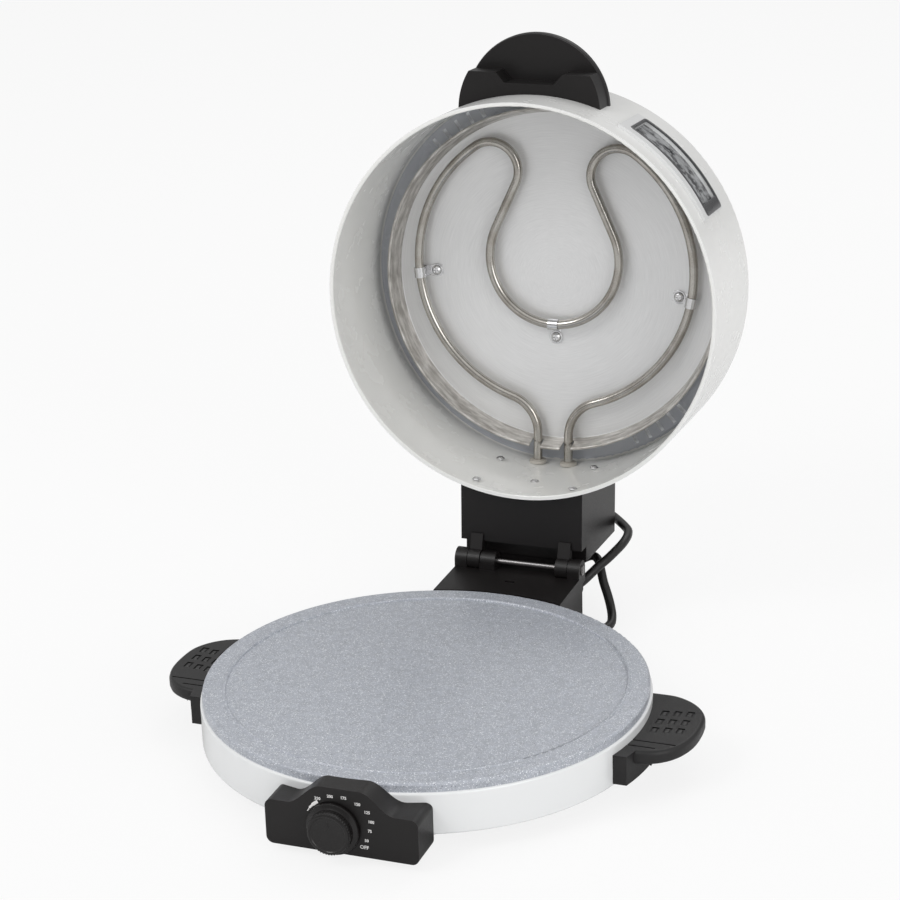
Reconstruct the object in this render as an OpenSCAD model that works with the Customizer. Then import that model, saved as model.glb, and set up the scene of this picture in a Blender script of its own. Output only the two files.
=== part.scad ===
// Electric flatbread maker with a tall hinged lid, shown open. Millimetres, floor at z = 0,
// plate centre at x = y = 0, front towards -y. The lid is drawn closed and then swung open.

/* [Cooking plate] */
// Outer radius of the coated plate
plate_r = 155; // [145:1:165]
// Height of the plate's outer band above the body
plate_band_h = 6.2; // [4:0.1:10]
// Depth of the plate below the body's top edge
plate_boss_h = 3.8; // [3:0.1:6]
// How far the ridge circle lies inside the plate's edge
ridge_inset = 15; // [11:0.5:22]
// Step down from the outer ring to the cooking surface
surface_drop = 0.8; // [0.4:0.1:1.6]
// Rounding of the plate's outer top edge
plate_edge = 1.6; // [0.8:0.1:3]

/* [Body] */
// Height of the body's wall
body_h = 29.8; // [27:0.2:36]
// How far the body stands out beyond the plate
body_lip = 1.6; // [1:0.1:3]
// Thickness of the pressed steel
sheet_t = 1.2; // [0.8:0.1:2]
// Rounding at the body's lower edge
body_corner = 4; // [3:0.5:6]
// Width of the turned-in lower flange
flange_w = 9; // [7:0.5:14]
// Height of the rubber feet
foot_h = 14; // [14:0.5:18]
// Radius of a foot at the floor
foot_r = 10; // [8:0.5:12]
// Distance of the front feet from the centre
foot_pcd_r = 112; // [100:1:116]

/* [Lid] */
// How far the lid's wall lies inside the plate's edge
lid_inset = 4.4; // [3:0.2:7]
// Height of the lid
lid_h = 103.4; // [96:0.5:112]
// Rounding at the top of the lid
lid_corner = 4; // [3:0.5:8]
// Gap between the closed lid and the plate
lid_gap = 0.3; // [0.2:0.1:1]
// Opening angle of the lid
open_angle = 93; // [80:1:94]

/* [Hinge] */
// Distance of the hinge pin behind the body
hinge_back = 47; // [44:0.5:54]
// Height of the hinge pin above the plate's ring
hinge_up = 4.7; // [4:0.1:7]
// Radius of the hinge pin
pin_r = 2; // [1.5:0.1:3]
// Radius of the hinge knuckles
barrel_r = 8; // [7:0.2:9]
// Width of one knuckle
knuckle_w = 9.6; // [8:0.1:12]
// Side gap between neighbouring knuckles
knuckle_gap = 0.4; // [0.3:0.1:0.8]
// Half the width over the hinge
hinge_half = 50; // [46:0.5:56]
// Distance from the pin to the back of the arm's lower part
arm_setback = 13.6; // [12.5:0.1:16]
// How far the arm's main housing reaches behind its lower part
arm_deep = 12.5; // [10:0.1:12.8]
// How far the arm ends below the closed lid's roof
arm_drop = 6.4; // [5:0.2:9]
// Wall of the moulded housings
mould_t = 2.5; // [2:0.1:3.5]

/* [Reflector and element] */
// How far the reflector's rim lies inside the lid's radius
dish_inset = 18.1; // [15:0.1:22]
// Gap between the reflector and the lid's roof
dish_roof_gap = 5.4; // [4:0.2:8]
// Depth of the reflector
dish_depth = 16; // [13:0.5:18]
// Radius of the heating tube
tube_r = 3.5; // [3:0.1:4]
// Distance of the heating tube's middle from the reflector
tube_drop = 8; // [6:0.5:9]
// How far the tube's outer run lies inside the reflector's rim
run_inset = 21.5; // [19:0.5:26]
// Radius of the tube's inner loop
loop_r = 52; // [46:1:56]
// Radius of the two hairpins
pin_bend_r = 22; // [19:0.5:24]
// Half the distance between the tube's two legs
leg_half = 12.5; // [11:0.5:15]
// Radius of the bend between leg and outer run
leg_bend_r = 30; // [24:1:34]

/* [Control panel] */
// Sideways place of the panel's centre
panel_x = 6; // [0:0.5:10]
// Distance of the panel's face in front of the body
panel_out = 15.4; // [12:0.2:20]
// Half the width of the panel
panel_half = 52.5; // [48:0.5:58]
// Height of the raised middle above the plate's ring
panel_up = 2; // [0:0.2:3]
// Height of the raised middle above the shoulders
panel_rise = 14.5; // [11:0.5:18]
// Half the width of the raised middle
plateau_half = 13; // [9:0.5:18]
// Height of the panel's lower edge above the floor
panel_low = 6; // [5:0.5:9]
// Radius of the knob's skirt
knob_r = 18; // [15:0.5:19]
// Height of the knob
knob_h = 10; // [8:0.5:15]

/* [Side handles] */
// Radius of the paddle's rounded corners
paddle_r = 38; // [34:0.5:42]
// Distance between the paddle's corner centres
paddle_w = 28; // [22:0.5:34]
// How far the paddle stands out from the body
paddle_out = 37.4; // [34:0.2:42]
// Thickness of the paddle
paddle_t = 10; // [8:0.5:12]
// Drop from the plate's ring to the top of the paddle
paddle_drop = 13; // [11:0.5:15]

/* [Lid handle and window] */
// Radius of the lid handle's grip
grip_r = 56; // [52:0.5:60]
// How far the grip stands out from the lid
grip_out = 43; // [38:0.5:46]
// Thickness of the grip
grip_t = 9; // [7:0.5:11]
// Height of the grip above the lid's edge
grip_h = 56; // [50:1:62]
// Depth of the grip's base block
grip_base = 18; // [14:0.5:20]
// Middle direction of the window
window_dir = -44.6; // [-50:0.1:-38]
// Angle that the window's frame spans
window_span = 35.8; // [32:0.2:40]
// Height of the window's frame
window_h = 50; // [44:1:54]

/* [Hidden] */
fa = 96;
$fn = fa;
eps = 0.01;
body_r = plate_r + body_lip;
body_z0 = foot_h;
body_z1 = foot_h + body_h;
rim_z = body_z1 + plate_band_h;
lid_r = plate_r - lid_inset;
lid_z = rim_z + lid_gap;
hy = body_r + hinge_back;
hz = rim_z + hinge_up;
// fits
fit = 0.1;
run_fit = 0.05;
body_gap = 0.4;
// screws
screw_r = 2;
head_r = 3.8;
head_h = 2.4;
// reflector
dish_t = 0.8;
dish_r = lid_r - dish_inset;
run_r = dish_r - run_inset;
dish_floor = lid_z + lid_h - sheet_t - dish_roof_gap - dish_t;
dish_z = dish_floor - dish_depth;
tube_z = dish_floor - tube_drop;
// layout of the heating tube
run_cy = -10;
loop_cy = -16.5;
bend_cy = run_cy + sqrt(pow(run_r + leg_bend_r, 2) - pow(leg_half + leg_bend_r, 2));
bend_a = atan2(bend_cy - run_cy, leg_half + leg_bend_r);
hair_dir = 235.06;
hair_d = run_r - pin_bend_r;
hair_x = hair_d * cos(hair_dir);
hair_y = run_cy + hair_d * sin(hair_dir);
hl_x = -hair_x;
hl_y = loop_cy - hair_y;
hl_d = sqrt(hl_x * hl_x + hl_y * hl_y);
hl_a = atan2(hl_y, hl_x);
hair_out = hl_a + acos(-(loop_r + pin_bend_r) / hl_d) - 180;
clip_left_dir = 174;
clip_right_dir = 10.3;
clip_fit = 0.2;
clip_w = 8;
clip_t = 0.8;
clip_off = 15;
// lower heating tube
low_refl_r = body_r - 28.6;
low_r1 = low_refl_r - 28;
low_r2 = low_r1 - 38;
low_tube_z = body_z1 - plate_boss_h - tube_r - run_fit;
low_refl_z = foot_h + 9;
cover_z = foot_h + sheet_t;
// hinge arm
arm_half = hinge_half - 1.5;
arm_low_y = hy - arm_setback;
arm_y = arm_low_y + arm_deep;
deep_z0 = lid_z + 20;
arm_z0 = lid_z + 8.2;
arm_z1 = lid_z + lid_h - arm_drop;
kx0 = hinge_half - knuckle_w;
kx1 = kx0 - knuckle_gap;
kx2 = kx1 - knuckle_w;
screw_pts = [[-38.5, 16], [38.5, 16], [-38.5, 72], [38.5, 72], [0, 41.5]];
// hinge bracket
br_top = rim_z - 0.5;
br_y = hy + 0.4;
// knob
knob_x = panel_x - 5;
knob_z = 24;
face_y = -(body_r + panel_out);
cord_r = 3.5;
cord_sides = 10;
// where the leads leave the bracket
main_x = 22;
main_z = body_z0 + 17.5;
lead_low_x = 43;
lead_low_z = body_z0 + 22.5;
main_gland_l = 22;
low_gland_l = 7;
up_gland_l = 9;
lead_x = 10;
lead_y = lid_r + 35;
lead_gap = 0.1;
// coil of the rest of the mains lead
coil_x = -20;
coil_y = hy + 58.4;
coil_r0 = 47.9;
coil_pitch = 8.5;
coil_rise = 7.6;
coil_turns = 2;
coil_z = cord_r + 1.4;
coil_rings = 24;
// place of a point of the closed lid once the lid is open
function opened(p) = [p[0], hy + (p[1] - hy) * cos(open_angle) + (p[2] - hz) * sin(open_angle),
    hz - (p[1] - hy) * sin(open_angle) + (p[2] - hz) * cos(open_angle)];
// a route given as steps from its first end, drawn out so that its last point meets the other end
function between(a, b, d) = let (n = len(d) - 1)
    [for (i = [0 : n]) a + d[i] + (b - a - d[n]) * i / n];
// route of the mains lead, in steps from its gland's mouth
main_route = [
    [0, 0, 0], [0, 7, 0.3], [2, 17, 2], [6.5, 26, 5.5], [12.5, 32, 9.5], [19.5, 33.5, 12],
    [25, 30.5, 10], [28.5, 25.5, 4], [32, 21, -4], [36.5, 16.5, -12], [40.5, 11, -19], [44, 3, -23.7],
    [45.5, -6.5, -26], [42, -16.5, -26.5], [33.5, -24, -26.6], [23, -27.5, -26.6], [11, -27, -26.6],
    [-1, -23.5, -26.6], [-13, -18.5, -26.6], [-24, -14.5, -26.6], [-33, -12.4, -26.6],
    [-42, -11.9, -26.6]];
lead_pts = between([main_x, br_y + main_gland_l, main_z], [coil_x, coil_y - coil_r0, coil_z], main_route);
// route of the lead between bracket and lid, in steps from the lower gland's mouth
lid_route = [
    [0, 0, 0], [0.4, 5.9, 0.4], [3.3, 11.9, 2.5], [7.5, 17.9, 6.5], [11.5, 23.9, 10.3],
    [15.5, 29.9, 13.3], [19.5, 37.9, 16.9], [22.5, 48.4, 19.7], [23, 59.9, 21.3], [20.6, 71.4, 21.3],
    [16, 79.9, 20.9], [9.8, 87.4, 21.4], [2.5, 94.9, 22.3], [-7, 102.4, 23.8], [-17, 107.4, 25.8],
    [-26.5, 107.6, 28.4], [-31.8, 103.1, 30.2], [-32.85, 98.9, 30.6], [-33, 95.2, 30.84]];
lid_lead_pts = between([lead_low_x, br_y + low_gland_l + lead_gap, lead_low_z],
    opened([lead_x, lead_y, arm_z1 + up_gland_l + 3 * lead_gap]), lid_route);

// sweeps a tube along points: frames carried from ring to ring
function unit(v) = v / norm(v);
function tang(p, i) = let (n = len(p) - 1)
    i == 0 ? unit(p[1] - p[0]) : i == n ? unit(p[n] - p[n - 1]) : unit(p[i + 1] - p[i - 1]);
function carry(u, t) = unit(u - t * (u * t));
function frames(p, i, u) = i >= len(p) ? [] :
    let (c = carry(u, tang(p, i))) concat([c], frames(p, i + 1, c));
function start_u(t) = abs(t[2]) < 0.9 ? [0, 0, 1] : [1, 0, 0];
function ring_pts(p, us, r, n) = [for (i = [0 : len(p) - 1]) let (t = tang(p, i), u = us[i], v = cross(t, u))
    for (k = [0 : n - 1]) p[i] + r * cos(360 * k / n) * u + r * sin(360 * k / n) * v];
function tube_faces(m, n) = concat(
    [for (i = [0 : m - 2]) for (k = [0 : n - 1]) [i * n + k, i * n + (k + 1) % n, (i + 1) * n + k]],
    [for (i = [0 : m - 2]) for (k = [0 : n - 1])
        [i * n + (k + 1) % n, (i + 1) * n + (k + 1) % n, (i + 1) * n + k]],
    [for (k = [1 : n - 2]) [0, k + 1, k]],
    [for (k = [1 : n - 2]) [(m - 1) * n, (m - 1) * n + k, (m - 1) * n + k + 1]]);
module tube(p, r, n) {
    us = frames(p, 0, start_u(tang(p, 0)));
    polyhedron(points = ring_pts(p, us, r, n), faces = [for (f = tube_faces(len(p), n)) [f[0], f[2], f[1]]]);
}

// centre line of the coil: in for some turns, up in half a turn, out again, then a tail over the top
function coil_point(a) = let (
    a1 = 360 * coil_turns,
    a2 = a1 + 180,
    a3 = a2 + 360 * coil_turns,
    r = a <= a1 ? coil_r0 - coil_pitch * a / 360 : a <= a2 ? coil_r0 - coil_pitch * coil_turns
        : coil_r0 - coil_pitch * coil_turns + coil_pitch * (a - a2) / 360,
    z = a <= a1 ? coil_z : a <= a2 ? coil_z + coil_rise * (a - a1) / 180 : coil_z + coil_rise)
    [coil_x + r * cos(-90 - a), coil_y + r * sin(-90 - a), z];
coil_end = 360 * coil_turns * 2 + 180;
coil_run = [for (i = [0 : coil_rings * coil_end / 360]) coil_point(i * 360 / coil_rings)];
tail_r = 26;
tail_lead = 48;
plug_z = coil_z + coil_rise + cord_r + 7.9;
tail_cx = coil_x + (coil_r0 - tail_r) * sin(tail_lead);
tail_cy = coil_y + (coil_r0 - tail_r) * cos(tail_lead);
plug_y = tail_cy - tail_r;
tail_up = plug_z - coil_z - coil_rise;
tail_pts = concat(
    [for (i = [1 : 3]) let (b = tail_lead * i / 3) [coil_x + coil_r0 * sin(b), coil_y + coil_r0 * cos(b),
        coil_z + coil_rise + tail_up * (1 - cos(60 * i)) / 2]],
    [for (i = [1 : 7]) let (b = tail_lead + (180 - tail_lead) * i / 7) [tail_cx + tail_r * sin(b),
        tail_cy + tail_r * cos(b), plug_z]]);
coil_all = concat(coil_run, tail_pts, [[tail_cx - 8, plug_y, plug_z]]);
// flat helpers
module rsq(x0, y0, x1, y1, r) {
    translate([x0 + r, y0]) square([x1 - x0 - 2 * r, y1 - y0]);
    translate([x0, y0 + r]) square([x1 - x0, y1 - y0 - 2 * r]);
    for (x = [x0 + r, x1 - r]) for (y = [y0 + r, y1 - r]) translate([x, y]) circle(r);
}
module box(a, b) { translate(a) cube(b - a); }
module rod_y(x, y0, y1, z, r) { translate([x, y0, z]) rotate([-90, 0, 0]) cylinder(h = y1 - y0, r = r); }
module rod_x(x0, x1, y, z, r) { translate([x0, y, z]) rotate([0, 90, 0]) cylinder(h = x1 - x0, r = r); }
module hex(r, h) { intersection_for (a = [0, 60, 120]) rotate(a) translate([-r, -2 * r, 0])
    cube([2 * r, 4 * r, h]); }
module lid_pose() { translate([0, hy, hz]) rotate([-open_angle, 0, 0]) translate([0, -hy, -hz]) children(); }
module sector(r0, r1, z0, z1, a0, a1) {
    rotate(a0) rotate_extrude(angle = a1 - a0) translate([r0, z0]) square([r1 - r0, z1 - z0]);
}
// half profile turned round: keeps x above zero
module turned() { rotate_extrude() intersection() { children(); translate([0, -300]) square([400, 900]); } }
// screw with a domed head, head down at z = 0, shank up
module pan_screw(len, r = screw_r, hr = head_r, hh = head_h) {
    difference() {
        union() {
            cylinder(h = len, r = r);
            intersection() {
                translate([0, 0, -hh]) cylinder(h = hh, r = hr);
                translate([0, 0, hr * 1.1 - hh]) sphere(hr * 1.25);
            }
        }
        translate([-hr * 0.55, -0.45, -hh - 1]) cube([hr * 1.1, 0.9, 2]);
        translate([-0.45, -hr * 0.55, -hh - 1]) cube([0.9, hr * 1.1, 2]);
    }
}
// screw whose head seat is at p, shank along +y
module screw_y(p, len) { translate(p) rotate([-90, 0, 0]) pan_screw(len); }

// base
module base_shell() {
    color([0.93, 0.93, 0.92]) difference() {
        turned() difference() {
            rsq(-200, body_z0, body_r, body_z1, min(body_corner, 1.6));
            rsq(-198, body_z0 + sheet_t, body_r - sheet_t, body_z1 - sheet_t, 0.6);
            translate([-1, body_z1 - 2 * sheet_t]) square([plate_r - 11 + 1, 4 * sheet_t]);
            translate([-1, body_z0 - 1]) square([body_r - flange_w + 1, 2 + sheet_t]);
        }
        // openings behind the panel and the hinge bracket
        box([knob_x - 20, -body_r - 2, knob_z - 7], [knob_x + 20, -body_r + 8, knob_z + 13]);
        rod_y(20, body_r - 8, body_r + 2, foot_h + 15, 8);
        for (p = cover_screw_pts) translate([p[0], p[1], body_z0 - 1]) cylinder(h = 4, r = 1.5 + fit);
        for (p = panel_screw_pts) rod_y(p[0], -body_r - 2, -body_r + 16, p[1], screw_r + fit);
        for (p = bracket_screw_pts) rod_y(p[0], body_r - 20, body_r + 2, p[1], screw_r + fit);
        for (s = [-1, 1]) for (y = handle_screw_y)
            rod_x(s * body_r - 8, s * body_r + 8, y, handle_screw_z, screw_r + fit);
    }
}
panel_screw_pts = [[panel_x - 40, foot_h + 13], [panel_x + 40, foot_h + 13]];
bracket_screw_pts = [[-36, foot_h + 13], [36, foot_h + 13], [-36, foot_h + 23], [36, foot_h + 23]];
handle_screw_y = [-26, 26];
handle_screw_z = foot_h + 13;
foot_pts = [for (a = [45, 135, 225, 315]) [foot_pcd_r * cos(a), foot_pcd_r * sin(a)]];
brf_pts = [[-36, hy - 23.6], [36, hy - 23.6]];
cover_screw_pts = [for (a = [22, 112, 202, 292]) [(body_r - flange_w + 3.6) * cos(a),
    (body_r - flange_w + 3.6) * sin(a)]];
stud_a = [30, 150, 270];
stud_r = low_r1 - 16;

module bottom_cover() {
    color([0.75, 0.76, 0.77]) difference() {
        translate([0, 0, cover_z]) cylinder(h = 1, r = body_r - sheet_t - 2);
        for (p = foot_pts) translate([p[0], p[1], 0]) cylinder(h = 60, r = screw_r + fit);
        for (p = cover_screw_pts) translate([p[0], p[1], 0]) cylinder(h = 60, r = 1.5 + fit);
        for (a = stud_a) rotate(a) translate([stud_r, 0, 0]) cylinder(h = 60, r = screw_r + fit);
        for (a = [0 : 30 : 330]) rotate(a + 15) translate([42, -2, 0]) cube([26, 4, 60]);
    }
}
module cover_screws() {
    color([0.7, 0.7, 0.72]) for (p = cover_screw_pts) translate([p[0], p[1], body_z0])
        pan_screw(5, 1.5, 3, 1.6);
}
module cover_nuts() {
    color([0.7, 0.7, 0.72]) for (p = cover_screw_pts) translate([p[0], p[1], cover_z + 1]) difference() {
        hex(2.7, 2.4);
        translate([0, 0, -1]) cylinder(h = 5, r = 1.5 + run_fit);
    }
}
module foot_at(p, h) {
    translate([p[0], p[1], 0]) difference() {
        cylinder(h = h, r1 = foot_r - 1, r2 = foot_r);
        translate([0, 0, -1]) cylinder(h = 5.4, r = head_r + 1);
        cylinder(h = h + 1, r = screw_r + fit);
    }
}
module base_feet() { color([0.12, 0.12, 0.12]) for (p = foot_pts) foot_at(p, cover_z); }
module foot_screws() {
    color([0.7, 0.7, 0.72]) for (p = foot_pts) translate([p[0], p[1], 4.4]) pan_screw(cover_z + 1 - 4.4 + 3);
}
module foot_nuts() {
    color([0.7, 0.7, 0.72]) for (p = foot_pts) translate([p[0], p[1], cover_z + 1]) difference() {
        hex(3.5, 3);
        translate([0, 0, -1]) cylinder(h = 6, r = screw_r + run_fit);
    }
}
module cooking_plate() {
    rr = plate_r - ridge_inset;
    color([0.55, 0.58, 0.63]) difference() {
        turned() difference() {
            union() {
                translate([0, body_z1 - plate_boss_h])
                    square([plate_r - 11 - fit, rim_z - surface_drop - body_z1 + plate_boss_h]);
                translate([plate_r - 12, body_z1]) square([12 - plate_edge, plate_band_h]);
                translate([plate_r - 12, body_z1]) square([12, plate_band_h - plate_edge]);
                translate([plate_r - plate_edge, rim_z - plate_edge]) circle(plate_edge);
                translate([rr, body_z1]) square([ridge_inset - 5, plate_band_h]);
                translate([rr, rim_z - 0.7]) circle(1.4);
            }
            translate([plate_r - 13, body_z1 - 20]) square([20, 20]);
        }
        for (a = stud_a) rotate(a) translate([stud_r, 0, body_z1 - plate_boss_h - 1])
            cylinder(h = 5.5, r = screw_r + run_fit);
    }
}
module plate_screws() {
    color([0.7, 0.7, 0.72]) for (a = stud_a) rotate(a) translate([stud_r, 0, cover_z])
        pan_screw(body_z1 - plate_boss_h + 3.5 - cover_z);
}
module plate_spacers() {
    // tubes on each screw: below the reflector, up to the strap and up to the plate
    color([0.72, 0.73, 0.75]) for (a = stud_a) rotate(a) translate([stud_r, 0, 0]) difference() {
        union() {
            translate([0, 0, cover_z + 1]) cylinder(h = low_refl_z - cover_z - 1, r = 4.5);
            translate([0, 0, low_refl_z + dish_t]) cylinder(h = strap_z - low_refl_z - dish_t, r = 4.5);
            translate([0, 0, strap_z + 2]) cylinder(h = body_z1 - plate_boss_h - strap_z - 2, r = 4.5);
        }
        cylinder(h = 80, r = screw_r + run_fit);
    }
}
strap_z = low_tube_z - tube_r - run_fit - 2;
module lower_reflector() {
    color([0.8, 0.8, 0.8]) difference() {
        translate([0, 0, low_refl_z]) cylinder(h = 8, r = low_refl_r);
        translate([0, 0, low_refl_z + dish_t]) cylinder(h = 8, r = low_refl_r - dish_t);
        for (a = stud_a) rotate(a) translate([stud_r, 0, low_refl_z - 1]) cylinder(h = 4, r = screw_r + fit);
        translate([0, 0, low_refl_z - 1]) cylinder(h = 4, r = 22);
    }
}
// bead over the seam between two lengths of tube
module seam(p, dir) {
    translate([p[0], p[1], 0]) rotate(dir) rotate([0, 90, 0]) translate([0, 0, -0.6])
        cylinder(h = 1.2, r = tube_r + 0.03);
}
module lower_element() {
    color([0.35, 0.35, 0.36]) translate([0, 0, low_tube_z]) {
        rotate(-70) rotate_extrude(angle = 145) translate([low_r1, 0]) circle(tube_r);
        rotate(105) rotate_extrude(angle = 145) translate([low_r1, 0]) circle(tube_r);
        rotate(-70) rotate_extrude(angle = 320) translate([low_r2, 0]) circle(tube_r);
        for (a = [-70, 250]) rotate(a) translate([(low_r1 + low_r2) / 2, 0, 0])
            rotate(a < 0 ? 180 : 0) rotate_extrude(angle = 180) translate([(low_r1 - low_r2) / 2, 0])
                circle(tube_r);
        for (a = [-70, 250]) for (r = [low_r1, low_r2]) seam([r * cos(a), r * sin(a)], a + 90);
        for (a = [76, 104]) rotate(a) translate([low_r1, 0, -8]) cylinder(h = 11, r = tube_r + 0.8);
    }
}
module element_straps() {
    // bars that hold the lower tube up against the plate
    color([0.72, 0.73, 0.75]) for (a = stud_a) rotate(a) difference() {
        w = a == 270 ? 16 : 6;
        translate([low_r2 - 8, -w, strap_z]) cube([low_r1 - low_r2 + 16, 2 * w, 2]);
        translate([stud_r, 0, 0]) cylinder(h = 80, r = screw_r + fit);
    }
}

// control panel
slope_w = 24;
slope_n = 14;
function slope(m) = [for (i = [0 : slope_n]) let (k = m > 0 ? i : slope_n - i)
    [m * (plateau_half + slope_w * k / slope_n),
        rim_z + panel_up - panel_rise * (1 - cos(180 * k / slope_n)) / 2]];
function arc_pts(cx, cy, r, a0, a1) =
    [for (i = [0 : 8]) let (a = a0 + (a1 - a0) * i / 8) [cx + r * cos(a), cy + r * sin(a)]];
module panel_outline() {
    sh = rim_z + panel_up - panel_rise;
    h = panel_half - 5;
    polygon(concat(slope(-1), slope(1), arc_pts(h, sh - 5, 5, 90, 0), arc_pts(h, panel_low + 5, 5, 0, -90),
        arc_pts(-h, panel_low + 5, 5, -90, -180), arc_pts(-h, sh - 5, 5, 180, 90)));
}
module control_panel() {
    color([0.15, 0.14, 0.14]) difference() {
        translate([panel_x, face_y + 30, 0]) rotate([90, 0, 0]) linear_extrude(height = 30) panel_outline();
        translate([0, 0, -1]) cylinder(h = 90, r = body_r);
        // hollow from the back, with bosses left round the screws
        for (b = [[panel_x - panel_half + mould_t, panel_screw_pts[0][0] - 5],
            [panel_screw_pts[0][0] + 5, panel_screw_pts[1][0] - 5],
            [panel_screw_pts[1][0] + 5, panel_x + panel_half - mould_t]])
            box([b[0], face_y + mould_t, body_z0 + 1.5],
                [b[1], face_y + 29, rim_z + panel_up - panel_rise - mould_t]);
        for (p = panel_screw_pts) rod_y(p[0], face_y + 4, face_y + 31, p[1], screw_r - 0.1);
        rod_y(knob_x, face_y - 1, face_y + 5, knob_z, 5.5);
    }
}
module panel_screws() {
    color([0.7, 0.7, 0.72]) for (p = panel_screw_pts) {
        yw = -sqrt(pow(body_r - sheet_t, 2) - pow(abs(p[0]) + head_r, 2));
        translate([p[0], yw + 0.05, p[1]]) rotate([90, 0, 0]) difference() {
            union() {
                cylinder(h = yw - face_y - 5, r = screw_r - 0.15);
                translate([0, 0, -head_h]) cylinder(h = head_h, r = head_r);
            }
            translate([-2, -0.45, -head_h - 1]) cube([4, 0.9, 2]);
        }
    }
}
shaft_r = 3;
ts_y0 = -body_r + 24;
module thermostat_body() {
    color([0.85, 0.83, 0.76]) difference() {
        union() {
            box([knob_x - 15, ts_y0 - 20, knob_z - 6], [knob_x + 15, ts_y0, knob_z + 11]);
            rod_y(knob_x, ts_y0 - 23, ts_y0 - 19, knob_z, 5);
            box([knob_x - 22, ts_y0 - 9, cover_z + 1], [knob_x - 15 + eps, ts_y0 - 1, knob_z + 8]);
            box([knob_x + 15 - eps, ts_y0 - 9, cover_z + 1], [knob_x + 22, ts_y0 - 1, knob_z + 8]);
        }
        rod_y(knob_x, ts_y0 - 25, ts_y0 - 8, knob_z, shaft_r + run_fit);
    }
}
module thermostat_shaft() {
    color([0.7, 0.7, 0.72]) difference() {
        rod_y(knob_x, face_y - knob_h + 2.4, ts_y0 - 9, knob_z, shaft_r);
        box([knob_x - 4, face_y - knob_h, knob_z + 1.6], [knob_x + 4, face_y - 0.5, knob_z + 5]);
    }
}
module knob() {
    color([0.13, 0.12, 0.12]) difference() {
        union() {
            translate([knob_x, face_y - body_gap, knob_z]) rotate([90, 0, 0]) cylinder(h = 3, r = knob_r);
            translate([knob_x, face_y - body_gap - 3, knob_z]) rotate([90, 0, 0])
                cylinder(h = 1.6, r1 = knob_r, r2 = knob_r - 3.2);
            translate([knob_x, face_y - body_gap - 2, knob_z]) rotate([90, 0, 0])
                cylinder(h = knob_h - 3, r1 = knob_r - 3.2, r2 = knob_r - 3.9);
            translate([knob_x, face_y - body_gap - knob_h + 1, knob_z]) rotate([90, 0, 0])
                cylinder(h = 1, r1 = knob_r - 3.9, r2 = knob_r - 4.9);
        }
        rod_y(knob_x, face_y - knob_h + 2.4, face_y + 1, knob_z, shaft_r + 0.01);
        for (a = [0 : 20 : 340]) translate([knob_x, 0, knob_z]) rotate([0, a, 0])
            rod_y(knob_r + 0.4, face_y - 3.2, face_y + 1, 0, 1);
    }
}

// side handles
module stadium(w, r, h, e) {
    // two round ends and a straight middle with rounded edges, middle on the origin, base at z = 0
    for (s = [-1, 1]) translate([0, s * w / 2, 0]) turned() rsq(-r, 0, r, h, e);
    translate([0, w / 2, 0]) rotate([90, 0, 0]) linear_extrude(height = w) rsq(-r, 0, r, h, e);
}
pad_z1 = rim_z - paddle_drop;
pad_x = body_r + paddle_out - paddle_r;
module side_handle_solid() {
    difference() {
        union() {
            translate([pad_x, 0, pad_z1 - paddle_t]) stadium(paddle_w, paddle_r, paddle_t, 3);
            // mounting block on the body
            intersection() {
                translate([0, 0, body_z0 + 2]) cylinder(h = body_h - 9.5, r = body_r + 9);
                box([120, -49, 0], [200, 49, 60]);
            }
            // bracket ribs below the paddle
            for (y = [-30, 30]) intersection() {
                translate([pad_x - 20, y - 1.5, pad_z1 - paddle_t - 8]) cube([44, 3, 12]);
                translate([body_r + 22, y, pad_z1 - paddle_t + 12]) rotate([0, 45, 0])
                    translate([-60, -3, -17]) cube([80, 6, 34]);
            }
        }
        translate([0, 0, -1]) cylinder(h = 90, r = body_r);
        // pattern of small pockets and two grooves on top
        for (i = [0 : 2]) for (j = [0 : 2])
            translate([body_r + 6 + i * 8.5, -9 + j * 13 + i * 1.5, pad_z1 - 0.6]) cube([5, 8, 2]);
        translate([body_r - 2, -24, pad_z1 - 0.6]) cube([30, 1.2, 2]);
        translate([body_r - 6, -32, pad_z1 - 0.6]) cube([22, 1.2, 2]);
        for (y = handle_screw_y) rod_x(body_r - 9, body_r + 6.5, y, handle_screw_z, screw_r - 0.1);
    }
}
module side_handle_right() { color([0.2, 0.2, 0.2]) side_handle_solid(); }
module side_handle_left() { color([0.2, 0.2, 0.2]) mirror([1, 0, 0]) side_handle_solid(); }
module handle_screws() {
    color([0.7, 0.7, 0.72]) for (s = [-1, 1]) for (y = handle_screw_y) {
        xs = sqrt(pow(body_r - sheet_t, 2) - pow(abs(y) + head_r, 2));
        translate([s * (xs - 0.05), y, handle_screw_z]) rotate([0, s * 90, 0]) difference() {
            union() {
                cylinder(h = body_r + 5 - xs, r = screw_r - 0.15);
                translate([0, 0, -head_h]) cylinder(h = head_h, r = head_r);
            }
            translate([-2, -0.45, -head_h - 1]) cube([4, 0.9, 2]);
        }
    }
}

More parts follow.
